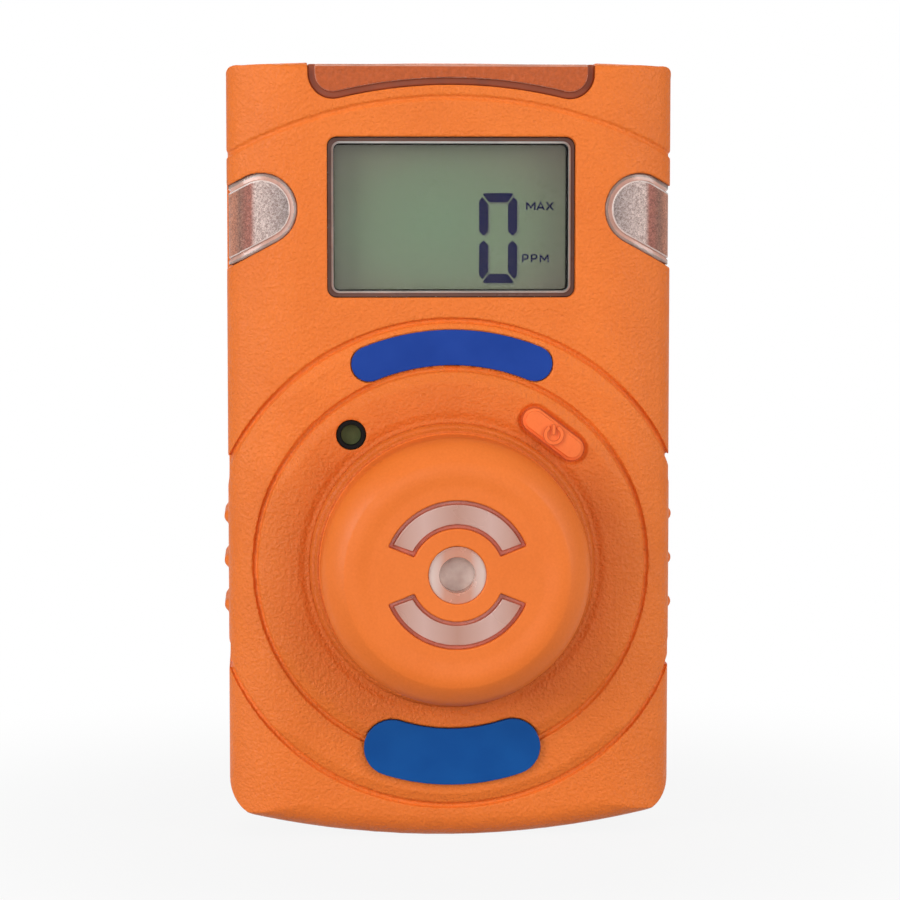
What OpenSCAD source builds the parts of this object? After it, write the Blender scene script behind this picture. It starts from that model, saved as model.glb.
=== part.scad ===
// Portable gas detector, clip at the rear, sensor cap at the front.
// Every module is drawn lying on its rear face: x right, y up the case, z out of the front.
// The place() module stands it up, with the front facing the viewer.

/* [Body] */
// Width of the case across its flanks
body_w = 52; // [46:0.5:58]
// Height of the case
body_h = 90.8; // [82:0.1:98]
// Depth from the rear face to the display face
body_d = 19; // [17.5:0.1:22]
// Height of the parting plane above the rear face
part_z = 9; // [8.2:0.1:9.8]
// Wall thickness of both covers
wall = 1.7; // [1.5:0.1:1.9]
// Width over which the front falls away to a flank
edge_front = 9; // [8:0.25:9.75]
// Depth of that fall
edge_drop = 5; // [4.5:0.1:6]
// Tighter rounding where the fall meets the flank
edge_tight = 3.5; // [3:0.1:3.8]
// Rounding of the long rear edges
edge_rear = 3; // [2:0.25:4]
// Rounding of the bottom edges
edge_bottom = 3; // [2:0.25:4]
// Rounding of the top edges
edge_top = 1.2; // [0.8:0.1:1.8]
// Radius of the bowed bottom
bow_r = 104; // [90:1:140]
// Rounding of the bottom corners in the front view
corner_r = 4.4; // [3:0.1:5]
// Rounding of the top corners in the front view
top_corner_r = 1.2; // [0.6:0.1:2]
// Radius of the crowned top
crown_r = 560; // [500:10:1200]
// Clearance between fixed pieces
fit = 0.1; // [0.05:0.01:0.15]

/* [Rings] */
// Height of the sensor axis, the centre of every ring
sensor_y = 32.4; // [29:0.1:36]
// Height of the band over the top arc
top_band = 4.2; // [3.6:0.1:5]
// Radius of the outer ring
ring_outer_r = 28.15; // [26:0.05:31]
// Radius of the inner ring
ring_inner_r = 22.55; // [20.5:0.05:24.5]
// Rise of the case at each ring
ring_step = 0.5; // [0.3:0.05:0.6]
// Width of the slope at the edge of a ring
ring_bevel = 1.2; // [0.6:0.1:1.5]
// Width of the groove along a ring
groove_w = 0.6; // [0.4:0.05:0.7]
// Depth of the groove along a ring
groove_d = 0.45; // [0.25:0.05:0.5]
// Height of a grip rib over the flank
rib_proud = 0.5; // [0.3:0.05:0.7]
// Radius of a grip rib
rib_r = 0.9; // [0.7:0.05:1.1]
// Distance between grip ribs
rib_pitch = 5.25; // [4.5:0.05:6]

/* [Sensor cap] */
// Radius of the straight wall of the cap
cap_r = 15.3; // [14:0.1:16.5]
// Width of the collar at the foot of the cap
collar_w = 1.2; // [1:0.05:1.5]
// Height of the collar over the inner ring
collar_h = 1.2; // [0.8:0.1:1.5]
// Height of the cap over the inner ring
cap_h = 10; // [9:0.1:11]
// Rounding of the cap shoulder
cap_round = 3.2; // [2.8:0.1:4]
// Thickness of the cap roof
cap_roof = 1.6; // [1.4:0.1:1.8]
// Inner radius of the arc slots
slot_in_r = 5.2; // [4.8:0.1:5.6]
// Outer radius of the arc slots
slot_out_r = 8.6; // [8:0.1:9.4]
// Half sweep of an arc slot in degrees
slot_angle = 68; // [50:1:75]
// Radius of the middle port
port_r = 3.4; // [3:0.1:3.8]
// Radius of the gas sensor
sensor_r = 10.1; // [9.2:0.05:11]
// Gap round the gas sensor
sensor_gap = 0.7; // [0.5:0.05:0.9]
// Thickness of the skirt round the bore of the cap
skirt_t = 2.2; // [2:0.05:2.4]
// Thickness of the sheet behind the cap roof
retainer_t = 1.4; // [1.2:0.1:1.6]
// Thickness of the dust filter
filter_t = 0.3; // [0.2:0.05:0.4]
// Thickness of the seal on the gas sensor
sensor_seal_t = 1.3; // [1:0.1:1.5]
// Radius of a sensor pin
pin_wire_r = 0.75; // [0.6:0.05:0.8]
// Radius of the circle of the sensor pins
pin_ring_r = 6.5; // [6:0.1:7]
// Height of the sockets of the sensor pins
socket_h = 1; // [0.8:0.1:1.2]

/* [Display] */
// Distance of the display opening from a flank
win_side = 11.6; // [11:0.1:12.5]
// Distance of the display opening from the outer ring
win_low = 2.95; // [2.6:0.05:3.3]
// Distance of the display opening from the top of the case
win_top = 8.75; // [8:0.05:9.6]
// Rounding of the corners of the display opening
win_corner = 1.1; // [1:0.05:1.3]
// Depth of the window below the case face
win_sunk = 0.8; // [0.5:0.05:1]
// Width of the flange behind the opening
win_flange = 1.7; // [1.4:0.1:1.9]
// Thickness of the flange
flange_t = 1; // [0.8:0.05:1.2]
// Thickness of the adhesive seal
seal_t = 0.2; // [0.15:0.05:0.3]
// Width of the dark border round the display
view_rim = 0.9; // [0.7:0.05:1.1]
// Thickness of the foam border
border_t = 0.4; // [0.3:0.05:0.5]
// Thickness of the display glass
lcd_t = 2.2; // [1.8:0.1:2.4]
// Width of the display glass hidden behind the opening
lcd_over = 0.8; // [0.7:0.05:0.9]
// Width of a contact strip
strip_w = 2; // [1.8:0.05:2.2]

/* [Lenses] */
// Distance of the top lens opening from a flank
top_in = 9.4; // [9:0.1:10.4]
// Distance of the top lens from the top arc
top_over = 1.4; // [1.1:0.05:1.6]
// Rounding of the lower corners of the top lens
top_round = 2.9; // [2.4:0.1:3.2]
// Drop of the flat top of the lens below the crown
top_flat = 0.5; // [0.3:0.05:0.8]
// Air between an alarm light and the top lens
led_air = 1.4; // [1:0.1:1.8]
// Distance of the middle of a flank lens from the flank
side_in = 4; // [3.6:0.1:4.4]
// Distance of the middle of a flank lens from the top of the case
side_top = 17.1; // [15.5:0.1:18.8]
// Half width of a flank lens
side_half = 4.2; // [3.8:0.05:4.6]
// Width of the clear rim of every lens
lens_rim = 0.9; // [0.6:0.05:1]
// Depth of the clear rim below the case face
lens_sunk = 0.6; // [0.4:0.05:0.7]
// Thickness of a flank lens
lens_t = 2; // [1.8:0.1:2.2]
// Width of an alarm light
led_w = 3.2; // [2.8:0.1:3.5]
// Height of an alarm light
led_t = 1.5; // [1.2:0.1:1.7]

/* [Controls] */
// Shift of the key and the sounder port from the middle of the ring face
ctrl_in = 0.28; // [0.2:0.01:0.4]
// Angle of the key and the sounder port from upright
ctrl_angle = 37.5; // [35:0.5:40]
// Half width of the key
key_half = 1.4; // [1.2:0.05:1.5]
// Distance between the round ends of the key
key_len = 5.4; // [4.8:0.1:6]
// Height of the key over the inner ring
key_proud = 0.8; // [0.6:0.05:0.9]
// Travel of the key
key_travel = 0.6; // [0.4:0.05:0.7]
// Gap all round the key
key_gap = 0.15; // [0.1:0.01:0.25]
// Depth of the skin over the flange of the key
key_skin = 0.9; // [0.8:0.05:1]
// Width of the flange of the key
key_flange = 0.7; // [0.5:0.05:0.8]
// Thickness of the flange of the key
key_flange_t = 0.9; // [0.7:0.05:1]
// Width of the switch under the key
switch_w = 5.2; // [4.8:0.1:6]
// Height of the switch under the key
switch_h = 2.2; // [2:0.1:2.4]
// Radius of the plunger of the switch
plunger_r = 1.3; // [1.1:0.05:1.4]
// Radius of the sounder port
port_hole_r = 1.75; // [1.6:0.05:1.85]
// Radius of the sounder
sounder_r = 4.6; // [4.2:0.1:5]
// Height of the sounder
sounder_h = 4.4; // [4:0.1:4.8]

/* [Labels] */
// Edge left between the upper label and the rings
label_a_rim = 0.75; // [0.6:0.05:1]
// Half sweep of the upper label in degrees
label_a_angle = 22.3; // [20:0.1:24]
// Half width of the lower label
label_b_half = 3.3; // [3:0.05:3.5]
// Half sweep of the lower label in degrees
label_b_angle = 18.2; // [16:0.1:20]
// Thickness of the label plates
label_t = 0.5; // [0.4:0.05:0.6]

/* [Inside] */
// Thickness of the main board
board_t = 1.2; // [1:0.1:1.4]
// Distance of the board front from the parting plane
board_drop = 0.4; // [0.3:0.05:0.6]
// Air between the board and the case
board_air = 1; // [0.8:0.1:1.4]
// Width of the largest chip
chip_w = 7; // [6:0.25:7.5]
// Height of the largest chip
chip_t = 1; // [0.8:0.1:1.2]
// Air round the chips behind the board
chip_air = 1.6; // [1.2:0.1:1.8]
// Air under the cell
cell_air = 0.3; // [0.2:0.05:0.4]
// Thickness of the pad over the cell
pad_t = 0.9; // [0.7:0.05:1]
// Distance of the cell from the bottom wall
cell_rise = 1.95; // [1.6:0.05:2.4]
// Length of the cell
cell_len = 25; // [22:0.5:27.5]
// Thickness of the contact tabs of the cell
tab_t = 0.26; // [0.2:0.02:0.3]
// Thickness of the rubber boot of the motor
boot_t = 0.6; // [0.5:0.05:0.7]
// Air round the boot of the motor
motor_air = 0.25; // [0.2:0.05:0.35]
// Length of the vibration motor
motor_len = 8; // [7:0.25:9]
// Distance of the vibration motor from the top of the case
motor_top = 21; // [19:0.5:23]
// Radius of the motor shaft
shaft_r = 0.4; // [0.3:0.05:0.45]
// Running clearance of the motor shaft
shaft_run = 0.04; // [0.02:0.01:0.08]
// Radius of the case screws
screw_r = 1; // [0.8:0.05:1.1]
// Radius of the heads of the case screws
head_r = 1.9; // [1.7:0.05:2]
// Wall round the heads of the case screws
boss_t = 0.8; // [0.7:0.05:0.9]
// Length of a case screw above the parting plane
screw_reach = 5; // [4.4:0.1:5.2]
// Distance of the upper case screws from a flank
screw_in = 5.2; // [4.8:0.1:5.8]
// Distance of the upper case screws from the top of the case
screw_top = 7; // [6.4:0.1:7.8]
// Distance of the lower case screws from a flank
foot_in = 7; // [6.4:0.1:7.8]
// Height of the lower case screws
foot_up = 9.4; // [8.6:0.1:10.2]
// Radius of the board screws
post_screw_r = 0.8; // [0.7:0.05:0.9]
// Wall round the board screws
post_t = 1.4; // [1.2:0.1:1.5]
// Distance of the upper board screws from a flank
post_in = 6.4; // [5.8:0.1:7]
// Distance of the upper board screws below the outer ring
post_low = 4.1; // [3.6:0.1:4.6]
// Distance of the lower board screws from a flank
post_foot_in = 9.4; // [8.6:0.1:10.2]
// Distance of the lower board screws below the sensor axis
post_foot_low = 9.7; // [8.8:0.1:10.6]

/* [Clip] */
// Height of the clip behind the case
clip_proud = 6.4; // [5.8:0.05:7]
// Thickness of the clip sheet
sheet = 0.9; // [0.8:0.05:0.95]
// Width of the lever
lever_w = 13; // [12:0.25:14]
// Width of the base plate
base_w = 12; // [11:0.25:13]
// Distance of the hinge pin from the top of the case
hinge_top = 33; // [30:0.25:36]
// Length of the lever from the pin down to the jaw
jaw_len = 22; // [20:0.25:24]
// Length of the lever from the pin up to the thumb end
thumb_len = 17; // [15:0.25:18.5]
// Air between the pieces of the clip
clip_air = 0.3; // [0.25:0.05:0.4]
// Radius of the hinge pin
pin_r = 0.9; // [0.8:0.05:1]
// Running clearance of the hinge pin
pin_run = 0.05; // [0.03:0.01:0.08]
// Radius of the spring wire
wire_r = 0.35; // [0.25:0.05:0.35]
// Air round the spring
spring_air = 0.25; // [0.2:0.05:0.35]
// Distance between the spring curls
coil_pitch = 1.2; // [1.15:0.05:1.3]
// Length of the legs of the spring
leg_len = 7; // [6:0.25:8]
// Radius of the clip screw
clip_screw_r = 1.2; // [1.1:0.05:1.3]
// Distance of the clip screw below the hinge pin
clip_screw_low = 12; // [11:0.25:13]

/* [Hidden] */
$fn = 96;
part_fn = 256;
half_w = body_w / 2;
edge_arm = edge_front - edge_tight;
edge_wide = (pow(edge_arm, 2) + pow(edge_drop, 2) - pow(edge_tight, 2)) / (edge_drop - edge_tight) / 2;
edge_turn = atan2(edge_wide - edge_drop, edge_arm);
band_z = body_d + ring_step;
ring_z = body_d + 2 * ring_step;
roof_z = body_d - wall;
cap_top = ring_z + cap_h;
depth_mid = (cap_top - clip_proud) / 2;
arc_r = body_h - sensor_y - top_band;
ring_top = sensor_y + ring_outer_r;
collar_r = cap_r + collar_w;
collar_top = ring_z + collar_h;
cap_under = cap_top - cap_roof;
bore_r = sensor_r + sensor_gap;
skirt_r = bore_r + skirt_t;
board_front = part_z - board_drop;
board_back = board_front - board_t;
ctrl_r = (collar_r + ring_inner_r) / 2 - ctrl_in;
key_x = ctrl_r * sin(ctrl_angle);
key_y = sensor_y + ctrl_r * cos(ctrl_angle);
label_a_r = (ring_inner_r + ring_outer_r) / 2;
label_a_half = (ring_outer_r - ring_inner_r) / 2 - label_a_rim;
label_b_r = ring_inner_r - groove_w / 10;
win_w = body_w - 2 * win_side;
win_h = body_h - win_top - ring_top - win_low;
win_y = body_h - win_top - win_h / 2;
lcd_top = roof_z - seal_t - flange_t - border_t;
lcd_low = lcd_top - lcd_t;
lcd_w = win_w + 2 * lcd_over;
lcd_h = win_h + 3 * lcd_over;
strip_y = lcd_h / 2 - strip_w * 0.75;
light_h = lcd_h - 4 * strip_w;
top_half = half_w - top_in;
top_arc_r = arc_r + top_over;
top_low = board_front + led_t + led_air;
side_x = half_w - side_in;
side_y = body_h - side_top;
side_turn = atan2(side_x, side_y - sensor_y);
side_low = part_z + 1;
case_screw_at = [[screw_in - half_w, body_h - screw_top], [half_w - screw_in, body_h - screw_top],
    [foot_in - half_w, foot_up], [half_w - foot_in, foot_up]];
board_screw_at = [[post_in - half_w, ring_top - post_low], [half_w - post_in, ring_top - post_low],
    [post_foot_in - half_w, sensor_y - post_foot_low], [half_w - post_foot_in, sensor_y - post_foot_low]];
boss_r = head_r + boss_t;
post_r = post_screw_r + post_t;
cell_r = (roof_z - wall - cell_air - pad_t) / 2;
cell_y = wall + cell_rise + cell_r;
cell_z = wall + cell_air + cell_r;
board_low = cell_y + cell_r + board_air;
board_high = body_h - wall - board_air;
motor_r = (board_back - wall) / 2 - boot_t - motor_air;
motor_y = body_h - motor_top;
motor_z = wall + motor_air + boot_t + motor_r;
motor_x = -motor_len / 2 - shaft_r;
retainer_low = cap_under - retainer_t;
filter_low = retainer_low - filter_t;
sensor_seal_low = filter_low - sensor_seal_t;
hinge_y = body_h - hinge_top;
pin_z = -clip_proud / 2;
coil_r = clip_proud / 2 - sheet - wire_r - spring_air;
coil_turns = 4.5;
pin_angles = [90, 210, 330];
board_half = half_w - wall - board_air;
post_reach = screw_reach * 0.7;
head_low = wall * 0.35;
head_h = screw_r * 1.4;
sounder_top = board_front + sounder_h;
flange_low = ring_z - key_skin - fit - key_flange_t;
plunger_low = board_front + switch_h * 0.6;
plunger_h = switch_h * 0.87;
clip_screw_y = hinge_y - clip_screw_low;
clip_boss_r = clip_screw_r * 2.5;
clip_boss_top = board_back - 2 * board_air;
peg_r = pin_r * 1.2;
peg_at = [-jaw_len * 0.77, thumb_len * 0.53];
base_ear_x = lever_w / 2 + sheet / 2 + clip_air;
base_ear_r = pin_r + 1.4 * sheet;
lever_ear_x = lever_w / 2 - sheet / 2;
lever_ear_r = clip_proud / 2 - sheet - 1.3 * clip_air;

// Points on an arc, both ends included
function arc(c, r, a0, a1, n) =
    [for (i = [0:n]) [c[0] + r * cos(a0 + (a1 - a0) * i / n), c[1] + r * sin(a0 + (a1 - a0) * i / n)]];

// Points on an arc without its ends
function arc_between(c, r, a0, a1, n) =
    [for (i = [1:n - 1]) [c[0] + r * cos(a0 + (a1 - a0) * i / n), c[1] + r * sin(a0 + (a1 - a0) * i / n)]];

// Outline of a rounded rectangle about its middle
function round_rect(w, h, r) = concat(
    arc([w / 2 - r, h / 2 - r], r, 0, 90, 8),
    arc([r - w / 2, h / 2 - r], r, 90, 180, 8),
    arc([r - w / 2, r - h / 2], r, 180, 270, 8),
    arc([w / 2 - r, r - h / 2], r, 270, 360, 8)
);

// Outline of a bar with round ends along x
function bar(len, r) = concat(
    arc([len / 2, 0], r, -90, 90, 16),
    arc([-len / 2, 0], r, 90, 270, 16)
);

// Outline of a band with round ends along an arc, centred on the direction given
function bent_bar(r, half, mid, sweep) = concat(
    arc([0, 0], r + half, mid - sweep, mid + sweep, 24),
    arc_between([r * cos(mid + sweep), r * sin(mid + sweep)], half, mid + sweep, mid + sweep + 180, 16),
    arc([0, 0], r - half, mid + sweep, mid - sweep, 24),
    arc_between([r * cos(mid - sweep), r * sin(mid - sweep)], half, mid - sweep + 180, mid - sweep + 360, 16)
);

module place() translate([0, depth_mid, 0]) rotate([90, 0, 0]) children();

module lift(z0, z1) translate([0, 0, z0]) linear_extrude(z1 - z0) children();

module at_ring() translate([0, sensor_y, 0]) children();

// Square corner with a round bite, used to round a corner
module corner_bite(x, y, r, sx, sy) {
    translate([x, y]) difference() {
        translate([sx < 0 ? -r - 1 : 0, sy < 0 ? -r - 1 : 0]) square(r + 1);
        circle(r);
    }
}

// Wedge with a round bite, used for one arc of a corner made of two arcs
module wedge_bite(x, y, r, a0, a1, s) {
    translate([s * x, y]) difference() {
        polygon([[0, 0], body_w * [s * cos(a0), sin(a0)], body_w * [s * cos(a1), sin(a1)]]);
        circle(r);
    }
}

// Cross-section of the case, x against z
module across(inset, face) {
    half = half_w - inset;
    rr = max(edge_rear - inset, wall / 5);
    difference() {
        translate([-half, inset]) square([2 * half, face - 2 * inset]);
        for (s = [-1, 1]) {
            wedge_bite(half_w - edge_front, face - edge_wide, edge_wide - inset, edge_turn - 3, 90, s);
            wedge_bite(half_w - edge_tight, face - edge_drop, max(edge_tight - inset, wall / 5), 0,
                edge_turn, s);
            corner_bite(s * (half - rr), inset + rr, rr, s, -1);
        }
    }
}

// Disc with rounded rims, one edge of which is the top or the bottom of the case
module rim_disc(y, r, low, high, round_r) {
    translate([0, y, 0]) rotate_extrude($fn = part_fn) difference() {
        translate([0, low]) square([r, high - low]);
        corner_bite(r - round_r, high - round_r, round_r, 1, 1);
        corner_bite(r - round_r, low + round_r, round_r, 1, -1);
    }
}

// Bites that round the four corners of the front view
module corner_cuts(inset) {
    half = half_w - inset;
    rc = max(corner_r - inset, wall / 3);
    rt = max(top_corner_r - inset, wall / 5);
    cx = half - rc;
    cy = bow_r - sqrt(pow(bow_r - inset - rc, 2) - cx * cx);
    k = (bow_r - inset + 2) / (bow_r - inset - rc);
    top_at = body_h - crown_r + sqrt(pow(crown_r - inset, 2) - half * half);
    for (s = [-1, 1]) {
        difference() {
            polygon([[s * cx, cy], [s * (half + 1), cy], [s * (half + 1), -3],
                [s * cx * k, bow_r + (cy - bow_r) * k]]);
            translate([s * cx, cy]) circle(rc);
        }
        corner_bite(s * (half - rt), top_at - rt, rt, s, 1);
    }
}

// The whole case, drawn smaller by the inset on every side
module case_form(inset, face) {
    difference() {
        intersection() {
            translate([0, body_h + 2, 0]) rotate([90, 0, 0]) linear_extrude(body_h + 4) across(inset, face);
            rim_disc(bow_r, bow_r - inset, inset, face - inset, max(edge_bottom - inset, wall / 3));
            rim_disc(body_h - crown_r, crown_r - inset, inset, face - inset, max(edge_top - inset, wall / 5));
        }
        lift(-1, face + 1) corner_cuts(inset);
    }
}

// Part of the case between two heights
module slab(z0, z1) lift(z0, z1) translate([-half_w - 5, -5]) square([body_w + 10, body_h + 10]);

module tube(r0, r1, z0, z1) {
    difference() {
        translate([0, 0, z0]) cylinder(r = r1, h = z1 - z0);
        translate([0, 0, z0 - 1]) cylinder(r = r0, h = z1 - z0 + 2);
    }
}

// Grooves along the rings, each cut to one depth all over the case, with a slope on the flanks
module ring_grooves() {
    difference() {
        at_ring() tube(ring_outer_r, ring_outer_r + groove_w, edge_rear, ring_z + 2);
        case_form(groove_d, body_d);
    }
    difference() {
        at_ring() {
            tube(ring_outer_r - ring_bevel / 2, ring_outer_r + groove_w / 2, edge_rear,
                body_d - edge_drop * 0.7);
            tube(arc_r - groove_w / 2, arc_r + groove_w / 2, edge_rear, ring_z + 2);
        }
        case_form(groove_d * 0.55, body_d);
    }
    difference() {
        at_ring() tube(ring_inner_r, ring_inner_r + groove_w, part_z + groove_w, ring_z + 2);
        case_form(groove_d, band_z);
    }
}

// Disc with a sloping edge
module ring_disc(r, z1) {
    at_ring() rotate_extrude() polygon([[0, part_z], [r, part_z], [r, z1 - ring_step],
        [r - ring_bevel, z1 + 0.01], [r - ring_bevel, z1 + 1], [0, z1 + 1]]);
}

// Outer form of the case with its two rings
module case_outer() {
    case_form(0, body_d);
    intersection() {
        ring_disc(ring_outer_r, band_z);
        case_form(0.02, band_z + 0.02);
    }
    intersection() {
        ring_disc(ring_inner_r, ring_z);
        case_form(0.04, ring_z + 0.04);
    }
}

// Three ribs on each flank, from the parting plane to the length given
module grip_ribs(len) {
    end_r = rib_r * 0.66;
    for (s = [-1, 1]) for (i = [-1:1])
        translate([s * (half_w + rib_proud - rib_r), sensor_y + i * rib_pitch, part_z])
            mirror([0, 0, len < 0 ? 1 : 0]) rotate_extrude($fn = 48) difference() {
                square([rib_r, abs(len)]);
                corner_bite(rib_r - end_r, abs(len) - end_r, end_r, 1, 1);
            }
}

// Outline of the top lens opening up to the height given, drawn larger or smaller by grow
module top_outline(grow, high) {
    half = top_half + grow;
    r = top_arc_r - grow;
    rr = top_round + grow;
    x = half - rr;
    y = sqrt(pow(r + rr, 2) - x * x);
    a = atan2(y, x);
    translate([0, sensor_y]) polygon(concat(
        arc([0, 0], r, 180 - a, a, 24),
        arc_between([x, y], rr, a + 180, 360, 10),
        [[half, y], [half, high - sensor_y], [-half, high - sensor_y], [-half, y]],
        arc_between([-x, y], rr, 180, 360 - a, 10)
    ));
}

// Outline of a flank lens, a tongue along the ring that runs off the flank
module side_outline(s, half) {
    translate([s * side_x, side_y]) rotate(s > 0 ? -side_turn : 180 + side_turn)
        translate([1.5 * side_half, 0]) polygon(bar(3 * side_half, half));
}

module label_a(grow) {
    translate([0, sensor_y]) polygon(bent_bar(label_a_r, label_a_half + grow, 90, label_a_angle));
}

module label_b(grow) {
    translate([0, sensor_y]) polygon(bent_bar(label_b_r, label_b_half + grow, 270, label_b_angle));
}

module at_key() translate([key_x, key_y, 0]) rotate(-ctrl_angle) children();

module at_sounder() translate([-key_x, key_y, 0]) children();

module front_cover() color([0.93, 0.46, 0.16]) place() {
    difference() {
        union() {
            difference() {
                union() {
                    intersection() {
                        case_outer();
                        slab(part_z, cap_top);
                    }
                    grip_ribs(body_d - edge_drop - part_z - rib_proud);
                }
                ring_grooves();
                intersection() {
                    case_form(wall, body_d);
                    slab(part_z - 1, cap_top);
                }
            }
            intersection() {
                union() {
                    for (p = case_screw_at) translate([p[0], p[1], part_z]) cylinder(r = boss_r, h = body_d);
                    for (p = board_screw_at)
                        translate([p[0], p[1], board_front]) cylinder(r = post_r, h = body_d);
                }
                case_form(wall / 2, body_d);
            }
        }
        for (p = case_screw_at)
            translate([p[0], p[1], part_z - 1]) cylinder(r = screw_r + 0.03, h = screw_reach + 1.3);
        for (p = board_screw_at)
            translate([p[0], p[1], board_front - 1]) cylinder(r = post_screw_r + 0.03, h = post_reach + 1.3);
        lift(roof_z - 1, ring_z) translate([0, win_y]) polygon(round_rect(win_w, win_h, win_corner));
        lift(top_low, ring_z) top_outline(0, body_h + 2);
        for (s = [-1, 1]) lift(side_low, ring_z) side_outline(s, side_half);
        at_ring() {
            translate([0, 0, roof_z - 2]) cylinder(r = skirt_r + fit, h = cap_h);
            translate([0, 0, body_d]) cylinder(r = collar_r + fit, h = cap_h);
        }
        lift(band_z - label_t + 0.05, ring_z) label_a(fit);
        lift(band_z - fit, ring_z + 1) label_b(fit);
        at_key() {
            lift(roof_z - 1, ring_z + 1) polygon(bar(key_len, key_half + key_gap));
            lift(roof_z - 1, ring_z - key_skin)
                polygon(bar(key_len, key_half + key_flange + 2 * key_gap));
            lift(ring_z - key_skin / 3, ring_z + 1)
                polygon(bar(key_len, key_half + key_gap + key_flange / 2));
        }
        at_sounder() translate([0, 0, roof_z - 1]) cylinder(r = port_hole_r, h = cap_h);
    }
}

module rear_cover() color([0.9, 0.43, 0.15]) place() {
    difference() {
        union() {
            difference() {
                union() {
                    intersection() {
                        case_form(0, body_d);
                        slab(-1, part_z);
                    }
                    grip_ribs(edge_rear + rib_proud - part_z);
                }
                ring_grooves();
                intersection() {
                    case_form(wall, body_d);
                    slab(0, part_z + 1);
                }
            }
            for (p = case_screw_at)
                translate([p[0], p[1], wall / 3]) cylinder(r = boss_r, h = part_z - wall / 3);
            translate([0, clip_screw_y, wall / 2]) cylinder(r = clip_boss_r, h = clip_boss_top - wall / 2);
            for (y = peg_at)
                translate([0, hinge_y + y, fit - sheet]) cylinder(r = peg_r, h = sheet + wall / 2);
            for (s = [-1, 1]) translate([s * cell_len * 0.32 - wall / 2, cell_y - cell_r * 0.9, wall / 2])
                cube([wall, cell_r * 1.8, cell_r * 0.6]);
            translate([motor_x - motor_len * 0.82, motor_y - 2 * motor_r, wall / 2])
                cube([motor_len * 0.62, 4 * motor_r, motor_z - motor_r * 0.35 - wall / 2]);
        }
        for (p = case_screw_at) {
            translate([p[0], p[1], -1]) cylinder(r = screw_r + 1.5 * fit, h = part_z + 2);
            translate([p[0], p[1], -1]) cylinder(r = head_r + 1.5 * fit, h = head_low + head_h + 1);
        }
        translate([0, clip_screw_y, -1])
            cylinder(r = clip_screw_r + 0.03, h = clip_boss_top - post_screw_r + 1);
        translate([0, clip_screw_y, -0.01])
            cylinder(r1 = clip_screw_r * 1.46, r2 = clip_screw_r + 0.03, h = clip_screw_r * 0.42 + 0.02);
        translate([-cell_len * 0.4, cell_y, cell_z])
            rotate([0, 90, 0]) cylinder(r = cell_r + fit, h = cell_len * 0.8);
        translate([motor_x - motor_len, motor_y, motor_z])
            rotate([0, 90, 0]) cylinder(r = motor_r + boot_t + fit / 2, h = 2 * motor_len);
        difference() {
            intersection() {
                case_form(wall * 0.38, body_d);
                slab(part_z - wall * 0.47, part_z + 1);
            }
            case_form(wall * 0.77, body_d);
        }
    }
}

module case_gasket() color([0.1, 0.1, 0.1]) place() {
    difference() {
        intersection() {
            case_form(wall * 0.41, body_d);
            slab(part_z - wall * 0.44, part_z);
        }
        case_form(wall * 0.74, body_d);
    }
}

// Screw with a round head at the low end and a cross in it
module screw(r, head, head_t, low, high) {
    difference() {
        union() {
            translate([0, 0, low]) cylinder(r = head, h = head_t);
            translate([0, 0, low]) cylinder(r = r, h = high - low);
        }
        for (a = [0, 90]) rotate(a) translate([-1.2 * r, -r / 4, low - 0.1]) cube([2.4 * r, r / 2, 0.7 * r]);
    }
}

module case_screws() color([0.6, 0.6, 0.62]) place() {
    for (p = case_screw_at)
        translate([p[0], p[1], 0]) screw(screw_r, head_r, head_h, head_low, part_z + screw_reach);
}

module board_screws() color([0.62, 0.62, 0.64]) place() {
    for (p = board_screw_at) translate([p[0], p[1], 0])
        screw(post_screw_r, 1.9 * post_screw_r, 1.25 * post_screw_r, board_back - 1.25 * post_screw_r,
            board_front + post_reach);
}

module upper_label() color([0.12, 0.25, 0.6]) place() {
    lift(band_z - label_t + 0.05, band_z + 0.05) label_a(0);
}

module lower_label() color([0.05, 0.32, 0.64]) place() {
    lift(band_z - fit, band_z - fit + 1.5 * label_t) label_b(0);
}

module display_window() color([0.75, 0.78, 0.78, 0.5]) place() translate([0, win_y, 0]) {
    lift(roof_z - seal_t - flange_t, roof_z - seal_t)
        polygon(round_rect(win_w + 2 * win_flange, win_h + 2 * win_flange, win_corner + win_flange / 3));
    lift(roof_z - seal_t - flange_t / 2, body_d - 1.5 * win_sunk)
        polygon(round_rect(win_w - 2 * fit, win_h - 2 * fit, win_corner - fit));
    lift(roof_z - seal_t - flange_t / 2, body_d - win_sunk)
        polygon(round_rect(win_w - 1.5 * view_rim, win_h - 1.5 * view_rim, win_corner - view_rim / 3));
}

module window_seal() color([0.15, 0.15, 0.15]) place() translate([0, win_y, 0]) lift(roof_z - seal_t, roof_z)
    difference() {
        polygon(round_rect(win_w + 2 * win_flange - seal_t, win_h + 2 * win_flange - seal_t,
            win_corner + seal_t));
        polygon(round_rect(win_w + 2 * seal_t, win_h + 2 * seal_t, win_corner));
    }

module lcd_border() color([0.12, 0.12, 0.12]) place() translate([0, win_y, 0])
    lift(lcd_top, lcd_top + border_t) difference() {
        square([lcd_w, lcd_h - 2 * lcd_over], center = true);
        polygon(round_rect(win_w - 2 * view_rim, win_h - 2 * view_rim, win_corner / 2));
    }

module lcd_panel() color([0.5, 0.55, 0.46]) place() translate([0, win_y, 0]) {
    lift(lcd_low, lcd_low + lcd_t / 2) square([lcd_w, lcd_h], center = true);
    lift(lcd_low + lcd_t / 2, lcd_top) square([lcd_w, lcd_h - 2 * lcd_over], center = true);
}

module lcd_backlight() color([0.85, 0.88, 0.86]) place() translate([0, win_y, 0])
    lift(board_front + 3 * fit, lcd_low) square([win_w - lcd_over, light_h], center = true);

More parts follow.
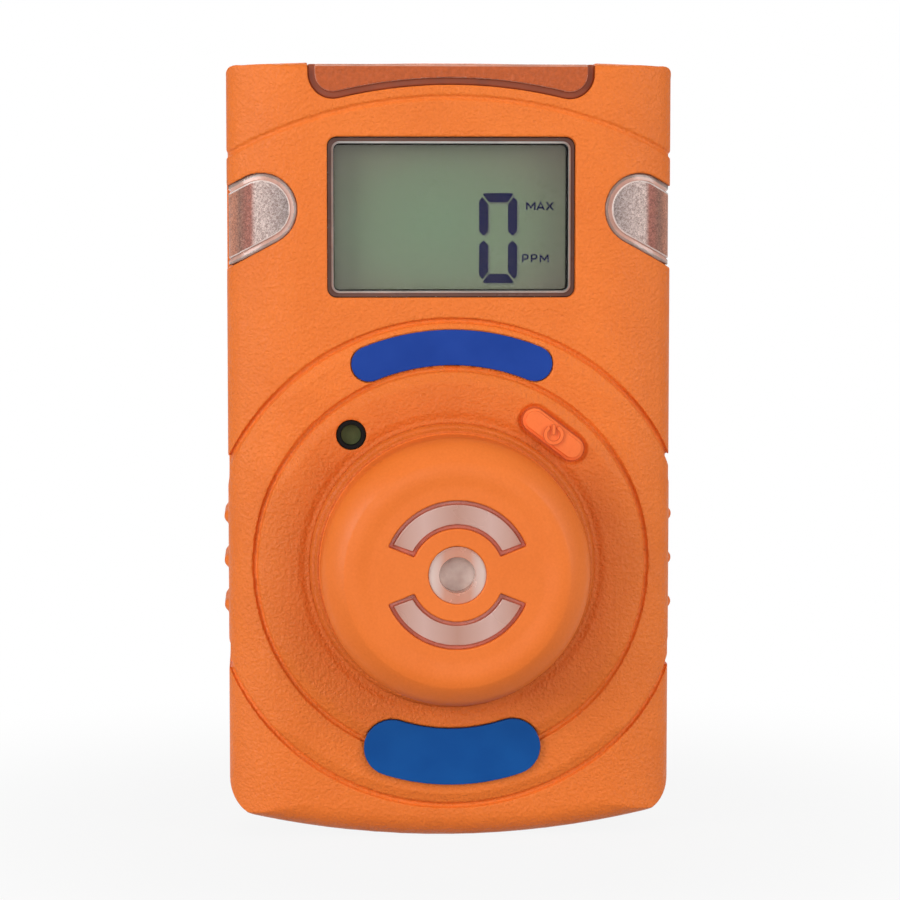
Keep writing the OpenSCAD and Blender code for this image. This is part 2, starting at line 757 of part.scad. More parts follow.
module lcd_carrier() color([0.12, 0.12, 0.13]) place() translate([0, win_y, 0]) difference() {
    lift(board_front, lcd_top)
        polygon(round_rect(lcd_w + 3 * lcd_over, lcd_h + 2 * lcd_over, win_corner / 2));
    lift(lcd_low, lcd_top + 1) square([lcd_w + 2 * fit, lcd_h + 2 * fit], center = true);
    lift(board_front - 1, lcd_top) {
        square([win_w - lcd_over + 2 * fit, light_h + 2 * fit], center = true);
        for (s = [-1, 1]) translate([0, s * strip_y])
            square([win_w - lcd_over + 2 * fit, strip_w + 2 * fit], center = true);
    }
}

module zebra_strips() color([0.25, 0.25, 0.27]) place() translate([0, win_y, 0])
    for (s = [-1, 1]) lift(board_front, lcd_low)
        translate([0, s * strip_y]) square([win_w - lcd_over, strip_w], center = true);

// Lens with a raised middle and a flat top
module top_alarm_lens() color([0.75, 0.3, 0.1, 0.7]) place() {
    lift(top_low + fit, body_d - lens_sunk) top_outline(-fit, body_h - top_flat);
    lift(top_low + fit, body_d - lens_sunk / 4) top_outline(-lens_rim, body_h - top_flat);
}

// Lens with a raised middle, shaped like the case around it
module side_lens(s) {
    difference() {
        union() {
            intersection() {
                lift(side_low + fit, ring_z) side_outline(s, side_half - fit);
                case_form(lens_sunk, body_d);
            }
            intersection() {
                lift(side_low + fit + lens_rim, ring_z) side_outline(s, side_half - lens_rim);
                case_form(lens_sunk / 2, body_d);
            }
        }
        case_form(lens_sunk + lens_t, body_d);
    }
}

module left_alarm_lens() color([0.85, 0.7, 0.6, 0.7]) place() side_lens(-1);

module right_alarm_lens() color([0.85, 0.7, 0.6, 0.7]) place() side_lens(1);

module alarm_leds() color([0.95, 0.93, 0.85]) place() {
    for (s = [-1, 1]) {
        translate([s * (side_x - led_w * 0.4), side_y - led_w * 0.4, board_front]) {
            translate([-led_w / 2, -led_w * 0.4, 0]) cube([led_w, led_w * 0.8, led_t]);
            cylinder(r = led_w / 3, h = led_t * 1.3);
        }
        translate([s * top_half / 2 - led_w / 2, board_high - led_w * 0.8, board_front])
            cube([led_w, led_w / 2, led_t]);
    }
}

module sounder() color([0.1, 0.1, 0.1]) place() at_sounder() translate([0, 0, board_front]) {
    difference() {
        cylinder(r = sounder_r, h = sounder_h);
        translate([0, 0, sounder_h * 0.75]) cylinder(r = sounder_r / 6, h = sounder_h);
        tube(sounder_r * 0.7, sounder_r * 0.82, sounder_h * 0.9, sounder_h + 1);
    }
}

module sounder_grommet() color([0.06, 0.06, 0.06]) place() at_sounder() difference() {
    union() {
        translate([0, 0, sounder_top])
            cylinder(r = port_hole_r - fit / 2, h = ring_z - 2 * fit - sounder_top);
        translate([0, 0, sounder_top]) cylinder(r = port_hole_r * 1.55, h = roof_z - sounder_top);
    }
    translate([0, 0, sounder_top - 1]) cylinder(r = sounder_r / 6, h = ring_z);
    translate([0, 0, ring_z - port_hole_r * 0.6]) cylinder(r = port_hole_r * 0.69, h = cap_h);
}

module sounder_membrane() color([0.08, 0.14, 0.1]) place() at_sounder()
    translate([0, 0, ring_z - port_hole_r * 0.6]) cylinder(r = port_hole_r * 0.66, h = 2 * fit);

module power_button() color([0.93, 0.46, 0.16]) place() at_key() {
    lift(flange_low, ring_z + key_proud - key_half / 4) polygon(bar(key_len, key_half));
    lift(flange_low, ring_z + key_proud) polygon(bar(key_len, key_half * 0.78));
    lift(flange_low, flange_low + key_flange_t) polygon(bar(key_len, key_half + key_flange));
    translate([0, 0, plunger_low + plunger_h])
        cylinder(r = plunger_r * 0.85, h = flange_low + fit - plunger_low - plunger_h);
    translate([0, 0, ring_z + key_proud]) rotate(ctrl_angle) power_mark();
}

// Broken ring with a bar in the gap, raised on the key
module power_mark() lift(-key_half / 7, key_half / 7) {
    difference() {
        circle(key_half * 0.77);
        circle(key_half * 0.51);
        translate([-key_half * 0.3, 0]) square([key_half * 0.6, key_half]);
    }
    translate([-key_half * 0.13, key_half * 0.07]) square([key_half * 0.26, key_half * 0.86]);
}

module switch_plunger() color([0.15, 0.15, 0.15]) place() at_key()
    translate([0, 0, plunger_low]) cylinder(r = plunger_r, h = plunger_h);

module key_switch() color([0.2, 0.2, 0.2]) place() at_key() difference() {
    translate([-switch_w / 2, -switch_w / 2, board_front]) cube([switch_w, switch_w, switch_h]);
    translate([0, 0, plunger_low - key_travel - 2 * fit]) cylinder(r = plunger_r + fit / 2, h = cap_h);
}

// Solid dome of the cap with its collar, before the hollow is cut
module cap_profile() {
    difference() {
        translate([0, body_d]) square([cap_r, cap_top - body_d]);
        corner_bite(cap_r - cap_round, cap_top - cap_round, cap_round, 1, 1);
    }
    polygon([[0, body_d], [collar_r, body_d], [collar_r, ring_z + collar_h / 4],
        [collar_r - collar_w / 4, ring_z + collar_h / 2], [cap_r + collar_w / 4, collar_top],
        [0, collar_top]]);
    translate([0, roof_z]) square([skirt_r, wall + 1]);
}

// Two arcs with straight ends, above and below the middle port
module arc_slots(grow) {
    out_a = slot_angle + asin(grow / slot_out_r);
    in_a = slot_angle + asin(grow / slot_in_r);
    for (m = [90, 270]) polygon(concat(
        arc([0, 0], slot_out_r + grow, m - out_a, m + out_a, 36),
        arc([0, 0], slot_in_r - grow, m + in_a, m - in_a, 36)
    ));
}

module sensor_cap() color([0.94, 0.48, 0.18]) place() at_ring() difference() {
    rotate_extrude() cap_profile();
    translate([0, 0, roof_z - 1]) cylinder(r = bore_r, h = cap_under - roof_z + 1);
    lift(cap_under - 1, cap_top + 1) arc_slots(0);
    translate([0, 0, cap_under - 1]) cylinder(r = port_r, h = cap_h);
}

module filter_retainer() color([0.9, 0.82, 0.78, 0.8]) place() at_ring() difference() {
    union() {
        translate([0, 0, retainer_low]) cylinder(r = bore_r - fit, h = retainer_t);
        lift(cap_under - fit, cap_top - cap_roof * 0.5) arc_slots(-fit);
        lift(cap_under - fit, cap_top - cap_roof * 0.3) arc_slots(-port_r / 6);
        translate([0, 0, cap_under - fit]) cylinder(r = port_r - fit, h = cap_roof * 0.8);
    }
    translate([0, 0, retainer_low - 1]) cylinder(r = port_r * 0.6, h = cap_h);
}

module dust_filter() color([0.95, 0.95, 0.94]) place() at_ring()
    translate([0, 0, filter_low]) cylinder(r = bore_r - 3 * fit, h = filter_t);

module sensor_seal() color([0.12, 0.12, 0.12]) place() at_ring()
    tube(sensor_r * 0.73, bore_r - 3 * fit, sensor_seal_low, filter_low);

module gas_sensor() color([0.82, 0.82, 0.8]) place() at_ring() difference() {
    union() {
        translate([0, 0, board_front + socket_h])
            cylinder(r = sensor_r, h = (sensor_seal_low - board_front) * 0.6);
        translate([0, 0, board_front + socket_h])
            cylinder(r = sensor_r * 0.95, h = sensor_seal_low - board_front - socket_h);
    }
    translate([0, 0, sensor_seal_low - sensor_seal_t / 2]) cylinder(r = sensor_r * 0.3, h = cap_h);
}

module at_pins() at_ring() for (a = pin_angles) rotate(a) translate([pin_ring_r, 0, 0]) children();

module sensor_pins() color([0.85, 0.7, 0.3]) place() at_pins()
    translate([0, 0, board_back - socket_h * 0.6])
        cylinder(r = pin_wire_r, h = board_t + socket_h * 1.6, $fn = 32);

module pin_sockets() color([0.8, 0.66, 0.3]) place() at_pins()
    tube(pin_wire_r + fit / 2, pin_wire_r * 1.75, board_front, board_front + socket_h);

module main_board() color([0.1, 0.35, 0.2]) place() difference() {
    lift(board_back, board_front) difference() {
        translate([-board_half, board_low]) square([2 * board_half, board_high - board_low]);
        for (p = case_screw_at) translate([p[0], p[1]]) square(2 * boss_r + board_air, center = true);
        for (s = [-1, 1]) translate([s * half_w, body_h])
            square([2.5 * screw_in, 2.5 * screw_top], center = true);
    }
    for (p = board_screw_at)
        translate([p[0], p[1], board_back - 1]) cylinder(r = post_screw_r + 1.5 * fit, h = 4);
    at_pins() translate([0, 0, board_back - 1]) cylinder(r = pin_wire_r + 1.5 * fit, h = 4, $fn = 32);
}

module board_chips() color([0.08, 0.08, 0.08]) place() {
    back_low = board_low + chip_air;
    back_h = sensor_y - pin_ring_r / 2 - pin_wire_r - chip_air - back_low;
    translate([-chip_w / 2, ring_top - post_low - chip_w, board_front]) cube([chip_w, chip_w, chip_t]);
    for (s = [-1, 1]) translate([s * (board_half - chip_w * 0.6), sensor_y, board_front]) {
        translate([-chip_w * 0.35, chip_w * 0.4, 0]) cube([chip_w * 0.7, chip_w * 0.8, chip_t * 1.4]);
        translate([-chip_w * 0.2, -chip_w * 0.94, 0]) cube([chip_w * 0.4, chip_w * 0.35, chip_t * 1.2]);
    }
    translate([-chip_w * 1.25, back_low, board_back - chip_t]) cube([chip_w, back_h, chip_t]);
    translate([chip_w * 0.4, back_low, board_back - chip_t]) cube([chip_w * 0.7, back_h * 0.8, chip_t]);
}

module battery() color([0.2, 0.24, 0.5]) place() translate([0, cell_y, cell_z]) rotate([0, 90, 0]) {
    translate([0, 0, -cell_len / 2]) cylinder(r = cell_r, h = cell_len - cell_r / 10);
    translate([0, 0, cell_len / 2 - cell_r / 5]) cylinder(r = cell_r * 0.36, h = cell_r / 5);
}

module battery_tabs() color([0.78, 0.76, 0.7]) place() for (s = [-1, 1]) {
    low = cell_y - cell_r / 5;
    translate([s * (cell_len + tab_t) / 2 - tab_t / 2, low, board_front])
        cube([tab_t, board_low + 1.8 * board_air - low, cell_r * 0.4]);
    translate([s * (cell_len / 2 - 3 * tab_t) - 4 * tab_t, board_low, board_front])
        cube([8 * tab_t, 1.8 * board_air, tab_t]);
}

module battery_pad() color([0.2, 0.2, 0.2]) place()
    translate([-cell_len / 5, cell_y - cell_r / 6, cell_z + cell_r])
        cube([cell_len * 0.4, cell_r / 3, pad_t]);

module along_motor() translate([motor_x, motor_y, motor_z]) rotate([0, 90, 0]) children();

module vibration_motor() color([0.7, 0.7, 0.72]) place() along_motor() difference() {
    union() {
        translate([0, 0, -motor_len]) cylinder(r = motor_r, h = motor_len);
        cylinder(r = motor_r * 0.45, h = shaft_r);
    }
    translate([0, 0, -motor_len * 0.4]) cylinder(r = shaft_r + shaft_run, h = motor_len);
}

module motor_boot() color([0.1, 0.1, 0.1]) place() along_motor()
    tube(motor_r + fit / 5, motor_r + boot_t, -motor_len * 0.92, -motor_len * 0.17);

module motor_shaft() color([0.8, 0.8, 0.82]) place() along_motor()
    translate([0, 0, -motor_len * 0.35]) cylinder(r = shaft_r, h = motor_len * 0.85);

module eccentric_weight() color([0.55, 0.55, 0.58]) place() along_motor() difference() {
    translate([0, 0, 2 * shaft_r]) {
        intersection() {
            cylinder(r = motor_r + boot_t - fit, h = motor_len * 0.38);
            translate([0, -2 * motor_r, 0]) cube([2 * motor_r, 4 * motor_r, motor_len]);
        }
        cylinder(r = motor_r / 2, h = motor_len * 0.38);
    }
    translate([0, 0, -1]) cylinder(r = shaft_r + fit / 5, h = motor_len);
}

// Plate standing across the hinge pin, round at its free end
module ear(x, low, high, r) {
    translate([x - sheet / 2, hinge_y, 0]) rotate([90, 0, 90]) linear_extrude(sheet) difference() {
        union() {
            translate([-r, low]) square([2 * r, high - low]);
            translate([0, pin_z]) circle(r);
        }
        translate([0, pin_z]) circle(pin_r + pin_run);
    }
}

module clip_base() color([0.75, 0.75, 0.76]) place() {
    difference() {
        union() {
            lift(-sheet, 0) {
                translate([-base_w / 2, hinge_y - jaw_len - sheet])
                    square([base_w, jaw_len + sheet + thumb_len * 0.68]);
                translate([-base_ear_x - sheet / 2, hinge_y - base_ear_r])
                    square([2 * base_ear_x + sheet, 2 * base_ear_r]);
            }
            for (s = [-1, 1]) ear(s * base_ear_x, pin_z, -sheet / 2, base_ear_r);
        }
        translate([0, clip_screw_y, -sheet - 0.01])
            cylinder(r1 = clip_screw_r * 2.27, r2 = clip_screw_r * 1.5, h = sheet + 0.02);
        for (y = peg_at) translate([0, hinge_y + y, -2 * sheet]) cylinder(r = peg_r + fit, h = 3 * sheet);
    }
}

module clip_lever() color([0.78, 0.78, 0.79]) place() {
    end_r = lever_w * 0.23;
    difference() {
        union() {
            lift(-clip_proud, sheet - clip_proud) translate([0, hinge_y - jaw_len])
                polygon(concat(
                    arc([lever_w / 2 - end_r, jaw_len + thumb_len - end_r], end_r, 0, 90, 8),
                    arc([end_r - lever_w / 2, jaw_len + thumb_len - end_r], end_r, 90, 180, 8),
                    [[-lever_w / 2, jaw_len * 0.36], [sheet - lever_w / 2, 0], [lever_w / 2 - sheet, 0],
                        [lever_w / 2, jaw_len * 0.36]]
                ));
            for (s = [-1, 1]) ear(s * lever_ear_x, sheet / 2 - clip_proud, pin_z, lever_ear_r);
            lift(sheet / 2 - clip_proud, -sheet - clip_air)
                translate([sheet - lever_w / 2, hinge_y - jaw_len]) square([lever_w - 2 * sheet, sheet]);
        }
        for (i = [0:3]) translate([-lever_w * 0.28, hinge_y + thumb_len * (0.82 - 0.12 * i), -clip_proud])
            rotate([0, 90, 0]) cylinder(r = wire_r, h = lever_w * 0.56, $fn = 24);
        for (i = [-2:2]) translate([i * lever_w * 0.17, hinge_y - jaw_len - sheet, -sheet - clip_air])
            rotate([-90, 0, 0]) linear_extrude(3 * sheet)
                polygon([[-sheet, -sheet / 4], [0, sheet], [sheet, -sheet / 4]]);
        translate([0, clip_screw_y, -clip_proud - sheet]) cylinder(r = clip_screw_r * 2.42, h = 3 * sheet);
    }
}

module clip_pin() color([0.7, 0.7, 0.72]) place() translate([0, hinge_y, pin_z]) rotate([0, 90, 0]) {
    cylinder(r = pin_r, h = 2 * base_ear_x + sheet + pin_r, center = true);
    for (s = [-1, 1]) translate([0, 0, s * (base_ear_x + sheet / 2 + pin_r * 0.4)])
        cylinder(r = pin_r * 1.55, h = pin_r * 0.55, center = true);
}

// Path of the spring wire: leg on the base, curls round the pin, leg on the lever
coil_half = coil_turns * coil_pitch / 2;
coil_steps = coil_turns * 8;
function coil_dir(a) = [sin(a), cos(a)];
spring_path = concat(
    [[coil_half, leg_len, coil_r, 0], [coil_half, leg_len / 2, coil_r, 0]],
    [for (i = [0:coil_steps]) let (a = -i * 360 / 8, d = coil_dir(a))
        [coil_half - i * coil_pitch / 8, coil_r * d[0], coil_r * d[1], a]],
    [[-coil_half, leg_len / 2, -coil_r, 180], [-coil_half, leg_len, -coil_r, 180]]
);
ring_n = len(spring_path);
spring_points = [for (p = spring_path) for (k = [0:5]) let (d = coil_dir(p[3]), c = wire_r * cos(k * 60))
    [p[0] + wire_r * sin(k * 60), p[1] + c * d[0], p[2] + c * d[1]]];
spring_faces = concat(
    [for (i = [0:ring_n - 2]) for (k = [0:5]) [6 * i + k, 6 * i + (k + 1) % 6, 6 * i + 6 + (k + 1) % 6]],
    [for (i = [0:ring_n - 2]) for (k = [0:5]) [6 * i + k, 6 * i + 6 + (k + 1) % 6, 6 * i + 6 + k]],
    [for (k = [1:4]) [0, k + 1, k]],
    [for (k = [1:4]) let (b = 6 * (ring_n - 1)) [b, b + k, b + k + 1]]
);
// Least gap between two stretches of the wire that are more than half a curl apart
spring_gap = min([for (i = [0:ring_n - 6]) for (j = [i + 5:ring_n - 1])
    norm([for (k = [0:2]) spring_path[i][k] - spring_path[j][k]])]) - 2 * wire_r;
echo(spring_gap = spring_gap);

module clip_spring() color([0.6, 0.6, 0.62]) place() translate([0, hinge_y, pin_z])
    polyhedron(points = spring_points, faces = spring_faces, convexity = 8);

module clip_screw() color([0.65, 0.65, 0.67]) place() translate([0, clip_screw_y, -sheet]) difference() {
    union() {
        cylinder(r1 = clip_screw_r * 2.22, r2 = clip_screw_r, h = sheet + clip_screw_r * 0.42);
        cylinder(r = clip_screw_r, h = sheet + clip_screw_r * 2.75);
    }
    for (a = [0, 90]) rotate(a) translate([-clip_screw_r * 1.25, -clip_screw_r / 5, -0.1])
        cube([clip_screw_r * 2.5, clip_screw_r * 0.4, clip_screw_r * 0.65]);
}

front_cover();
rear_cover();
case_gasket();
case_screws();
board_screws();
upper_label();
lower_label();
display_window();
window_seal();
lcd_border();
lcd_panel();
lcd_backlight();
lcd_carrier();
zebra_strips();
top_alarm_lens();
left_alarm_lens();
right_alarm_lens();
alarm_leds();
sounder();
sounder_grommet();
sounder_membrane();
power_button();
switch_plunger();
key_switch();
sensor_cap();
filter_retainer();
dust_filter();
sensor_seal();
gas_sensor();
sensor_pins();
pin_sockets();
main_board();
board_chips();
battery();
battery_tabs();
battery_pad();
vibration_motor();
motor_boot();
motor_shaft();
eccentric_weight();
clip_base();
clip_lever();
clip_pin();
clip_spring();
clip_screw();
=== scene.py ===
import math
import bmesh
import bpy
from mathutils import Matrix, Vector


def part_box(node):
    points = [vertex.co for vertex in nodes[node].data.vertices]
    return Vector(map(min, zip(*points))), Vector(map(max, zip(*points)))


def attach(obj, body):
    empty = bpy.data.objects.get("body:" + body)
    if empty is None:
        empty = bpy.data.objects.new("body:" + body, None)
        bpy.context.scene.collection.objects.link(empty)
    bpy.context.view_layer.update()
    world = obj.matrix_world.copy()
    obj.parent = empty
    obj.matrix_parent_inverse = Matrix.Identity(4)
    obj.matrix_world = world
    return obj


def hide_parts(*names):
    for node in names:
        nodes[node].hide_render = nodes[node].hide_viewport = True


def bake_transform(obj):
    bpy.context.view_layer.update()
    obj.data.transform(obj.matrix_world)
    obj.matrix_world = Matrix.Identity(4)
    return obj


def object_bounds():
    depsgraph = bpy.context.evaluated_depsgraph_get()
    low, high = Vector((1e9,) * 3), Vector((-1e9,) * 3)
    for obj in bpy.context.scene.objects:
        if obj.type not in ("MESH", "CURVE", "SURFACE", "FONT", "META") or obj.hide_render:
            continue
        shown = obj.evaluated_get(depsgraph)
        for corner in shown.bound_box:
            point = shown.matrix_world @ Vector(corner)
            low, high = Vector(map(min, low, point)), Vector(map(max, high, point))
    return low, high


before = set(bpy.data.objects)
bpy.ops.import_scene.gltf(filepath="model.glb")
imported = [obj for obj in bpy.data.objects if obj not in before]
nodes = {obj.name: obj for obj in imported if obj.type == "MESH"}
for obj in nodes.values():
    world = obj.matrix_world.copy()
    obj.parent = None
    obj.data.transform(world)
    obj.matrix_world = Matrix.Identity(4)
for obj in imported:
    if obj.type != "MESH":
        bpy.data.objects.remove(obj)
cad_lo, cad_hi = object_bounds()
scene = bpy.context.scene
scene.view_settings.view_transform = "Standard"

# Shapes are in mm: x runs across the part, y to its rear and z up. Materials, lamps and the
# camera are in m, as the frame is.
MM = 0.001
PER_M = 1000
CAP_AXIS = 32.4  # height of the cap's axis, which runs from front to rear
CASE_FACE = -8.2  # the face of the case round the cap


# Materials

MIX_FACTOR, MIX_A, MIX_B, MIX_RESULT = 0, 6, 7, 2  # a Mix node's sockets for colours


def add_node(tree, kind, **values):
    """A shader node, with each value on the socket or the setting of that name."""
    n = tree.nodes.new("ShaderNode" + kind)
    for key, value in values.items():
        if key in n.inputs.keys():
            n.inputs[key].default_value = value
        else:
            setattr(n, key, value)
    return n


def shades(color, dark, light):
    """A darker and a lighter shade of a colour."""
    return tuple(c * dark for c in color), tuple(min(1, c * light) for c in color)


class Mat:
    """A principled material with a few helpers for its nodes."""

    def __init__(self, name, color, rough, **sockets):
        self.m = bpy.data.materials.new(name)
        self.m.use_nodes = True
        self.t = self.m.node_tree
        self.b = self.t.nodes["Principled BSDF"]
        self.b.inputs["Base Color"].default_value = (*color, 1)
        self.b.inputs["Roughness"].default_value = rough
        for key, value in sockets.items():
            self.b.inputs[key.replace("_", " ")].default_value = value
        self.coord = self.node("TexCoord").outputs["Object"]

    def node(self, kind, **values):
        return add_node(self.t, kind, **values)

    def link(self, a, b):
        self.t.links.new(a, b)

    # Patterns and measures

    def stretched(self, scale):
        n = self.node("Mapping")
        n.inputs["Scale"].default_value = scale
        self.link(self.coord, n.inputs["Vector"])
        return n.outputs["Vector"]

    def noise(self, scale, detail=3.0, rough=0.55, distortion=0.0, coord=None):
        n = self.node("TexNoise", Scale=scale, Detail=detail, Roughness=rough,
                      Distortion=distortion)
        self.link(coord or self.coord, n.inputs["Vector"])
        return n.outputs["Fac"]

    def cells(self, scale, feature="SMOOTH_F1", coord=None):
        n = self.node("TexVoronoi", feature=feature)
        n.inputs["Scale"].default_value = scale
        self.link(coord or self.coord, n.inputs["Vector"])
        return n.outputs["Distance"]

    def off_middle(self):
        """Distance from the middle plane of the part."""
        n = self.node("SeparateXYZ")
        self.link(self.coord, n.inputs[0])
        return self.math("ABSOLUTE", n.outputs["X"], 0.0)

    def far_from(self, middle, stretch=None):
        """Distance from a point, with each axis stretched first if asked."""
        n = self.node("VectorMath", operation="SUBTRACT")
        n.inputs[1].default_value = middle
        self.link(self.coord, n.inputs[0])
        if stretch:
            oval = self.node("VectorMath", operation="MULTIPLY")
            oval.inputs[1].default_value = stretch
            self.link(n.outputs["Vector"], oval.inputs[0])
            n = oval
        length = self.node("VectorMath", operation="LENGTH")
        self.link(n.outputs["Vector"], length.inputs[0])
        return length.outputs["Value"]

    # Sums and colours

    def math(self, op, a, b):
        n = self.node("Math", operation=op)
        for i, v in enumerate((a, b)):
            if isinstance(v, (int, float)):
                n.inputs[i].default_value = v
            else:
                self.link(v, n.inputs[i])
        return n.outputs["Value"]

    def span(self, value, a, b, lo=0.3, hi=0.7):
        """A value from lo to hi, carried over to run from a to b."""
        n = self.node("MapRange", **{"From Min": lo, "From Max": hi, "To Min": a, "To Max": b})
        self.link(value, n.inputs["Value"])
        return n.outputs["Result"]

    def ramp(self, fac, stops):
        n = self.node("ValToRGB")
        elements = n.color_ramp.elements
        while len(elements) < len(stops):
            elements.new(0.5)
        for element, (place, color) in zip(elements, stops):
            element.position = place
            element.color = (*color, 1)
        self.link(fac, n.inputs["Fac"])
        return n.outputs["Color"]

    def times(self, a, b):
        """Two colours multiplied."""
        n = self.node("Mix", data_type="RGBA", blend_type="MULTIPLY")
        n.inputs[MIX_FACTOR].default_value = 1.0
        self.link(a, n.inputs[MIX_A])
        self.link(b, n.inputs[MIX_B])
        return n.outputs[MIX_RESULT]

    # What the surface takes

    def color(self, source):
        self.link(source, self.b.inputs["Base Color"])

    def tint(self, fac, dark, light, lo=0.3, hi=0.7):
        self.color(self.ramp(fac, [(lo, dark), (hi, light)]))

    def rough(self, fac, a, b):
        self.link(self.span(fac, a, b), self.b.inputs["Roughness"])

    def bump(self, height, distance):
        n = self.node("Bump", Strength=1.0, Distance=distance)
        self.link(height, n.inputs["Height"])
        normal = self.b.inputs["Normal"]
        if normal.is_linked:
            self.link(normal.links[0].from_socket, n.inputs["Normal"])
        self.link(n.outputs["Normal"], normal)


CAP_FOOT = (0.0, CASE_FACE * MM, CAP_AXIS * MM)
CAP_SHADE_REACH = 0.0165, 0.0255  # the painted shade round the cap fades out from here to here
CAP_SHADE_RAGGED = 0.002
CAP_SHADE_STOPS = [(0.0, (0.78, 0.72, 0.66)), (0.55, (0.9, 0.87, 0.84)), (1.0, (1.0, 1.0, 1.0))]
GRAIN_WARP = 0.00035


def case_plastic(name, dark, light, rough, grain, depth, shade_round_cap=False):
    """Soft-touch plastic: leather-like mould grain, faint mottling and, if asked, a painted shade
    round the cap.
    """
    m = Mat(name, light, rough, Specular_IOR_Level=0.3)
    mottle = m.math("MULTIPLY", m.noise(scale=140, detail=4), 0.5)
    fleck = m.math("MULTIPLY", m.noise(scale=3200, detail=2), 0.5)
    m.tint(m.math("ADD", mottle, fleck), dark, light, lo=0.36, hi=0.64)
    if shade_round_cap:
        # Painted shade: the case is darker round the foot of the cap, where the cap shades it.
        ragged = m.math("MULTIPLY", m.noise(scale=200), CAP_SHADE_RAGGED)
        spread = m.math("ADD", m.far_from(CAP_FOOT), ragged)
        cap_shade = m.ramp(m.span(spread, 0.0, 1.0, *CAP_SHADE_REACH), CAP_SHADE_STOPS)
        m.color(m.times(m.b.inputs["Base Color"].links[0].from_socket, cap_shade))
    m.rough(m.noise(scale=420, detail=4), rough - 0.05, rough + 0.08)
    wobble = m.node("TexNoise", Scale=2600.0, Detail=2.0)
    m.link(m.coord, wobble.inputs["Vector"])
    small = m.node("VectorMath", operation="SCALE", Scale=GRAIN_WARP)
    m.link(wobble.outputs["Color"], small.inputs[0])
    warp = m.node("VectorMath", operation="ADD")
    m.link(m.coord, warp.inputs[0])
    m.link(small.outputs["Vector"], warp.inputs[1])
    hide = m.cells(grain, coord=warp.outputs["Vector"])
    pores = m.math("MULTIPLY", m.noise(grain * 2.2, detail=2), 0.5)
    m.bump(m.math("ADD", hide, pores), depth)
    return m.m


def frosted(name, color, rough, transmission, grain, depth, across=None, **more):
    """Translucent plastic with a sparkling moulded texture.

    across is a reach in m and the colours of painted reflections from the middle of the part out to
    it.
    """
    m = Mat(name, color, rough, IOR=1.5, **more)
    m.b.inputs["Transmission Weight"].default_value = transmission
    m.rough(m.noise(grain * 0.4), rough - 0.08, rough + 0.1)
    if across:
        reach, stops = across
        m.color(m.ramp(m.span(m.off_middle(), 0.0, 1.0, 0.0, reach), stops))
    else:
        m.tint(m.noise(grain * 0.7), *shades(color, 0.86, 1.08))
    m.bump(m.cells(grain, "F1"), depth)
    m.bump(m.noise(grain * 1.7), depth * 0.8)
    return m.m


def plain(name, color, rough, grain=900, depth=0.00001, **more):
    """Moulded or printed surface with fine mottling."""
    m = Mat(name, color, rough, **more)
    m.tint(m.noise(grain * 0.3, detail=4), *shades(color, 0.82, 1.12))
    m.rough(m.noise(grain * 0.6), max(0.03, rough - 0.06), rough + 0.08)
    m.bump(m.noise(grain * 2), depth)
    return m.m


BRUSH_ACROSS, BRUSH_ALONG = 3200.0, 60.0  # lines per m across the brushing, and along it


def metal(name, color, rough, along):
    """Metal drawn or brushed along one axis, with faint stains."""
    m = Mat(name, color, rough, Metallic=1.0)
    scale = [BRUSH_ALONG if axis == along else BRUSH_ACROSS for axis in "xyz"]
    lines = m.noise(scale=1.0, coord=m.stretched(scale))
    m.rough(lines, rough - 0.06, rough + 0.1)
    m.tint(m.noise(scale=260, detail=4), *shades(color, 0.8, 1.0))
    m.bump(lines, 0.000004)
    return m.m


def label(name, color, dark, light):
    """A printed plate with an even, dull surface."""
    m = Mat(name, color, rough=0.45, Specular_IOR_Level=0.12)
    m.tint(m.noise(scale=220), dark, light)
    m.rough(m.noise(scale=900), 0.4, 0.5)
    m.bump(m.noise(scale=2600), 0.000004)
    return m.m


orange = case_plastic("case_orange", dark=(0.83, 0.18, 0.022), light=(0.91, 0.21, 0.028),
                      rough=0.44, grain=3000.0, depth=0.00012, shade_round_cap=True)
cap_orange = case_plastic("cap_orange", dark=(0.83, 0.178, 0.022), light=(0.89, 0.2, 0.028),
                          rough=0.45, grain=2600.0, depth=0.000012)
key_orange = case_plastic("key_orange", dark=(0.9, 0.18, 0.036), light=(0.95, 0.2, 0.042),
                          rough=0.43, grain=3000.0, depth=0.00001)
# Painted shade for the gap round the key.
key_gap_shade = case_plastic("key_gap_shade", dark=(0.58, 0.1, 0.015), light=(0.66, 0.12, 0.018),
                        rough=0.5, grain=3000.0, depth=0.00001)
# Painted shade along the edge of the raised power sign.
key_sign_shade = case_plastic("key_sign_shade", dark=(0.66, 0.115, 0.02), light=(0.72, 0.13, 0.024),
                        rough=0.45, grain=3000.0, depth=0.00001)

amber = frosted("lens_amber", (0.62, 0.122, 0.026), rough=0.4, transmission=0.15, grain=2600.0,
                depth=0.00008, Specular_IOR_Level=0.25)
amber_rim = plain("lens_amber_rim", (0.27, 0.062, 0.026), rough=0.36, grain=1200, depth=0.000004,
                  Specular_IOR_Level=0.2)
# A painted highlight: the pale line where the top edge and the side walls of the lens catch the light.
amber_highlight = plain("lens_amber_line", (0.62, 0.27, 0.18), rough=0.25, grain=1500, depth=0.000004)

